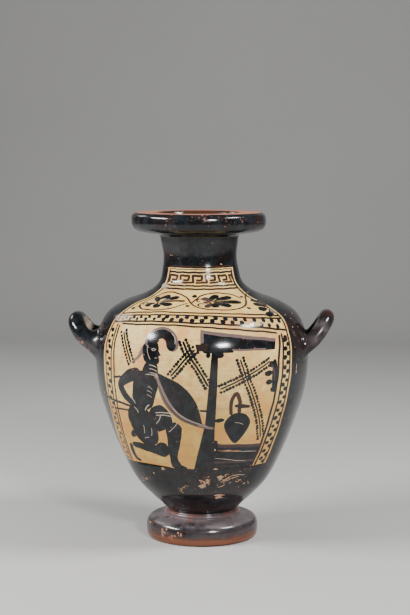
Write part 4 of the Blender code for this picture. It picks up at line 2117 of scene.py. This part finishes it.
@dataclass
class BackHandle:
    """The tall pouring handle from under the lip to the shoulder, an oval rod."""

    half_width: float = 11.0
    half_depth: float = 6.5
    bends: Course = ((36.0, 310.0), (68.0, 329.0), (100.0, 308.0), (89.0, 249.0))
    flare: float = 3.4
    reach: float = 9.0

    def handle(self, name: str) -> Handle:
        """The rod along a cubic curve that its four bends pull.

        Args:
            name: the piece's name.

        Returns:
            The handle.
        """
        a, b, c, d = (np.array(p) for p in self.bends)
        t = np.linspace(0.0, 1.0, 801)[:, None]
        here = (1 - t) ** 3 * a + 3 * t * (1 - t) ** 2 * b + 3 * t**2 * (1 - t) * c + t**3 * d
        slope = unit((1 - t) ** 2 * (b - a) + 2 * t * (1 - t) * (c - b) + t**2 * (d - c))
        nothing = np.zeros(len(t))
        path = sagged(np.column_stack((nothing, here[:, 0], here[:, 1])))
        flats = np.column_stack((nothing, -slope[:, 1], slope[:, 0]))
        return Handle(name, path, flats, self.half_width, self.half_depth, self.flare, self.reach)


@dataclass(frozen=True)
class Softbox:
    """An oblong soft light at a bearing from the front, aimed at the jar."""

    name: str
    bearing_deg: float
    elevation_deg: float
    distance: float
    width: float
    tall: float
    watts: float


@dataclass
class Studio:
    """A pale sweep, soft lights and the camera."""

    target: Place = (0.0, 0.0, 0.2)
    boxes: Sequence[Softbox] = (
        Softbox("light_left", -70.0, 30.0, 1.5, 0.76, 0.15, 38.0),
        Softbox("light_front", 27.0, 21.0, 2.0, 0.30, 0.13, 34.0),
        Softbox("light_right_high", 78.0, 47.0, 1.5, 0.46, 0.24, 27.0),
        Softbox("light_back", -126.0, 33.0, 1.8, 0.60, 0.50, 5.0),
    )
    air: float = 0.085
    air_colour: tuple = colour(0.9, 0.93, 1.0)
    floor_colour: tuple = colour(0.43, 0.425, 0.415)
    floor_shade: float = 0.94
    floor_front: float = -3.0
    floor_half: float = 4.0
    bend_from: float = 1.6
    bend_radius: float = 0.9
    sweep_top: float = 4.0
    camera_place: Place = (0.1152, -1.6019, 0.4184)
    camera_pitch_deg: float = 83.93
    camera_turn_deg: float = 4.0
    lens: float = 88.0
    sensor: float = 36.0

    def sweep(self) -> bpy.types.Object:
        """The floor, carried up behind the jar: a flat run, a quarter circle and a straight rise.

        Returns:
            The floor.
        """
        angle = np.linspace(0.0, math.pi / 2, 24)
        quarter = np.column_stack((np.sin(angle), -np.cos(angle)))
        bend = (self.bend_from, self.bend_radius) + self.bend_radius * quarter
        back = self.bend_from + self.bend_radius
        outline = np.vstack(([(self.floor_front, 0.0), (0.0, 0.0)], bend, [(back, self.sweep_top)]))
        sides = np.broadcast_to((-self.floor_half, self.floor_half), (len(outline), 2))
        depth, height = (np.repeat(column[:, None], 2, axis=1) for column in outline.T)
        unpainted = np.zeros((len(outline) - 1, 1, len(LAYERS)))
        skin = Surface.grid(np.stack((sides, depth, height), axis=-1) / MM, unpainted)
        shader = Shader("pale_floor")
        place = shader.node("ShaderNodeTexCoord", {}, {}, "Object")
        darker = colour(*(self.floor_shade * share for share in self.floor_colour[:3]))
        grey = shader.mix(shader.noise(place, 3.0), darker, self.floor_colour)
        shader.feed(shader.main.inputs["Base Color"], grey)
        shader.feed(shader.main.inputs["Roughness"], 0.85)
        return skin.make("floor", shader.material, 60.0)

    def light(self, box: Softbox) -> None:
        """Hang one soft light: its place is its bearing and elevation carried to its distance.

        Args:
            box: the light.
        """
        bearing, elevation = math.radians(box.bearing_deg), math.radians(box.elevation_deg)
        away = Vector(
            (
                math.sin(bearing) * math.cos(elevation),
                -math.cos(bearing) * math.cos(elevation),
                math.sin(elevation),
            )
        )
        lamp = bpy.data.lights.new(box.name, "AREA")
        lamp.shape = "RECTANGLE"
        lamp.size = box.width
        lamp.size_y = box.tall
        lamp.energy = box.watts
        holder = bpy.data.objects.new(box.name, lamp)
        holder.location = Vector(self.target) + away * box.distance
        holder.rotation_euler = away.to_track_quat("Z", "Y").to_euler()
        bpy.context.scene.collection.objects.link(holder)

    def build(self) -> None:
        """Set up floor, air, lights and camera."""
        self.sweep()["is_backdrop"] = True
        world = bpy.data.worlds.new("studio_air")
        world.use_nodes = True
        backdrop = world.node_tree.nodes["Background"]
        backdrop.inputs["Color"].default_value = self.air_colour
        backdrop.inputs["Strength"].default_value = self.air
        bpy.context.scene.world = world
        for box in self.boxes:
            self.light(box)
        camera = bpy.data.cameras.new("camera")
        camera.lens = self.lens
        camera.sensor_width = self.sensor
        camera.clip_start = 0.05
        holder = bpy.data.objects.new("camera", camera)
        holder.location = self.camera_place
        holder.rotation_euler = (math.radians(self.camera_pitch_deg), 0.0, math.radians(self.camera_turn_deg))
        bpy.context.scene.collection.objects.link(holder)
        bpy.context.scene.camera = holder


def finish_piece(piece: bpy.types.Object) -> None:
    """Hide the CAD jar and hang a piece on the body that it moves with.

    Args:
        piece: the piece.
    """
    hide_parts(JAR_NODE)
    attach(piece, CAD_BODY)
    log.info("%s: %d vertices", piece.name, len(piece.data.vertices))


def corners() -> list[list[float]]:
    """The shown object's lowest and highest corner as plain numbers."""
    return [[float(x) for x in corner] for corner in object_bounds()]


def main() -> None:
    """Build the jar, its handles and the studio."""
    logging.basicConfig(level=logging.INFO, format="%(name)s: %(message)s")
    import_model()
    finish = FiredClay().material()
    wall = Wall()
    finish_piece(Jar().build(finish))
    for handle in (
        SideHandles().handle("handle_right", 1),
        SideHandles().handle("handle_left", -1),
        BackHandle().handle("handle_back"),
    ):
        finish_piece(handle.build(wall, finish))
    Studio().build()


if __name__ == "__main__":
    main()
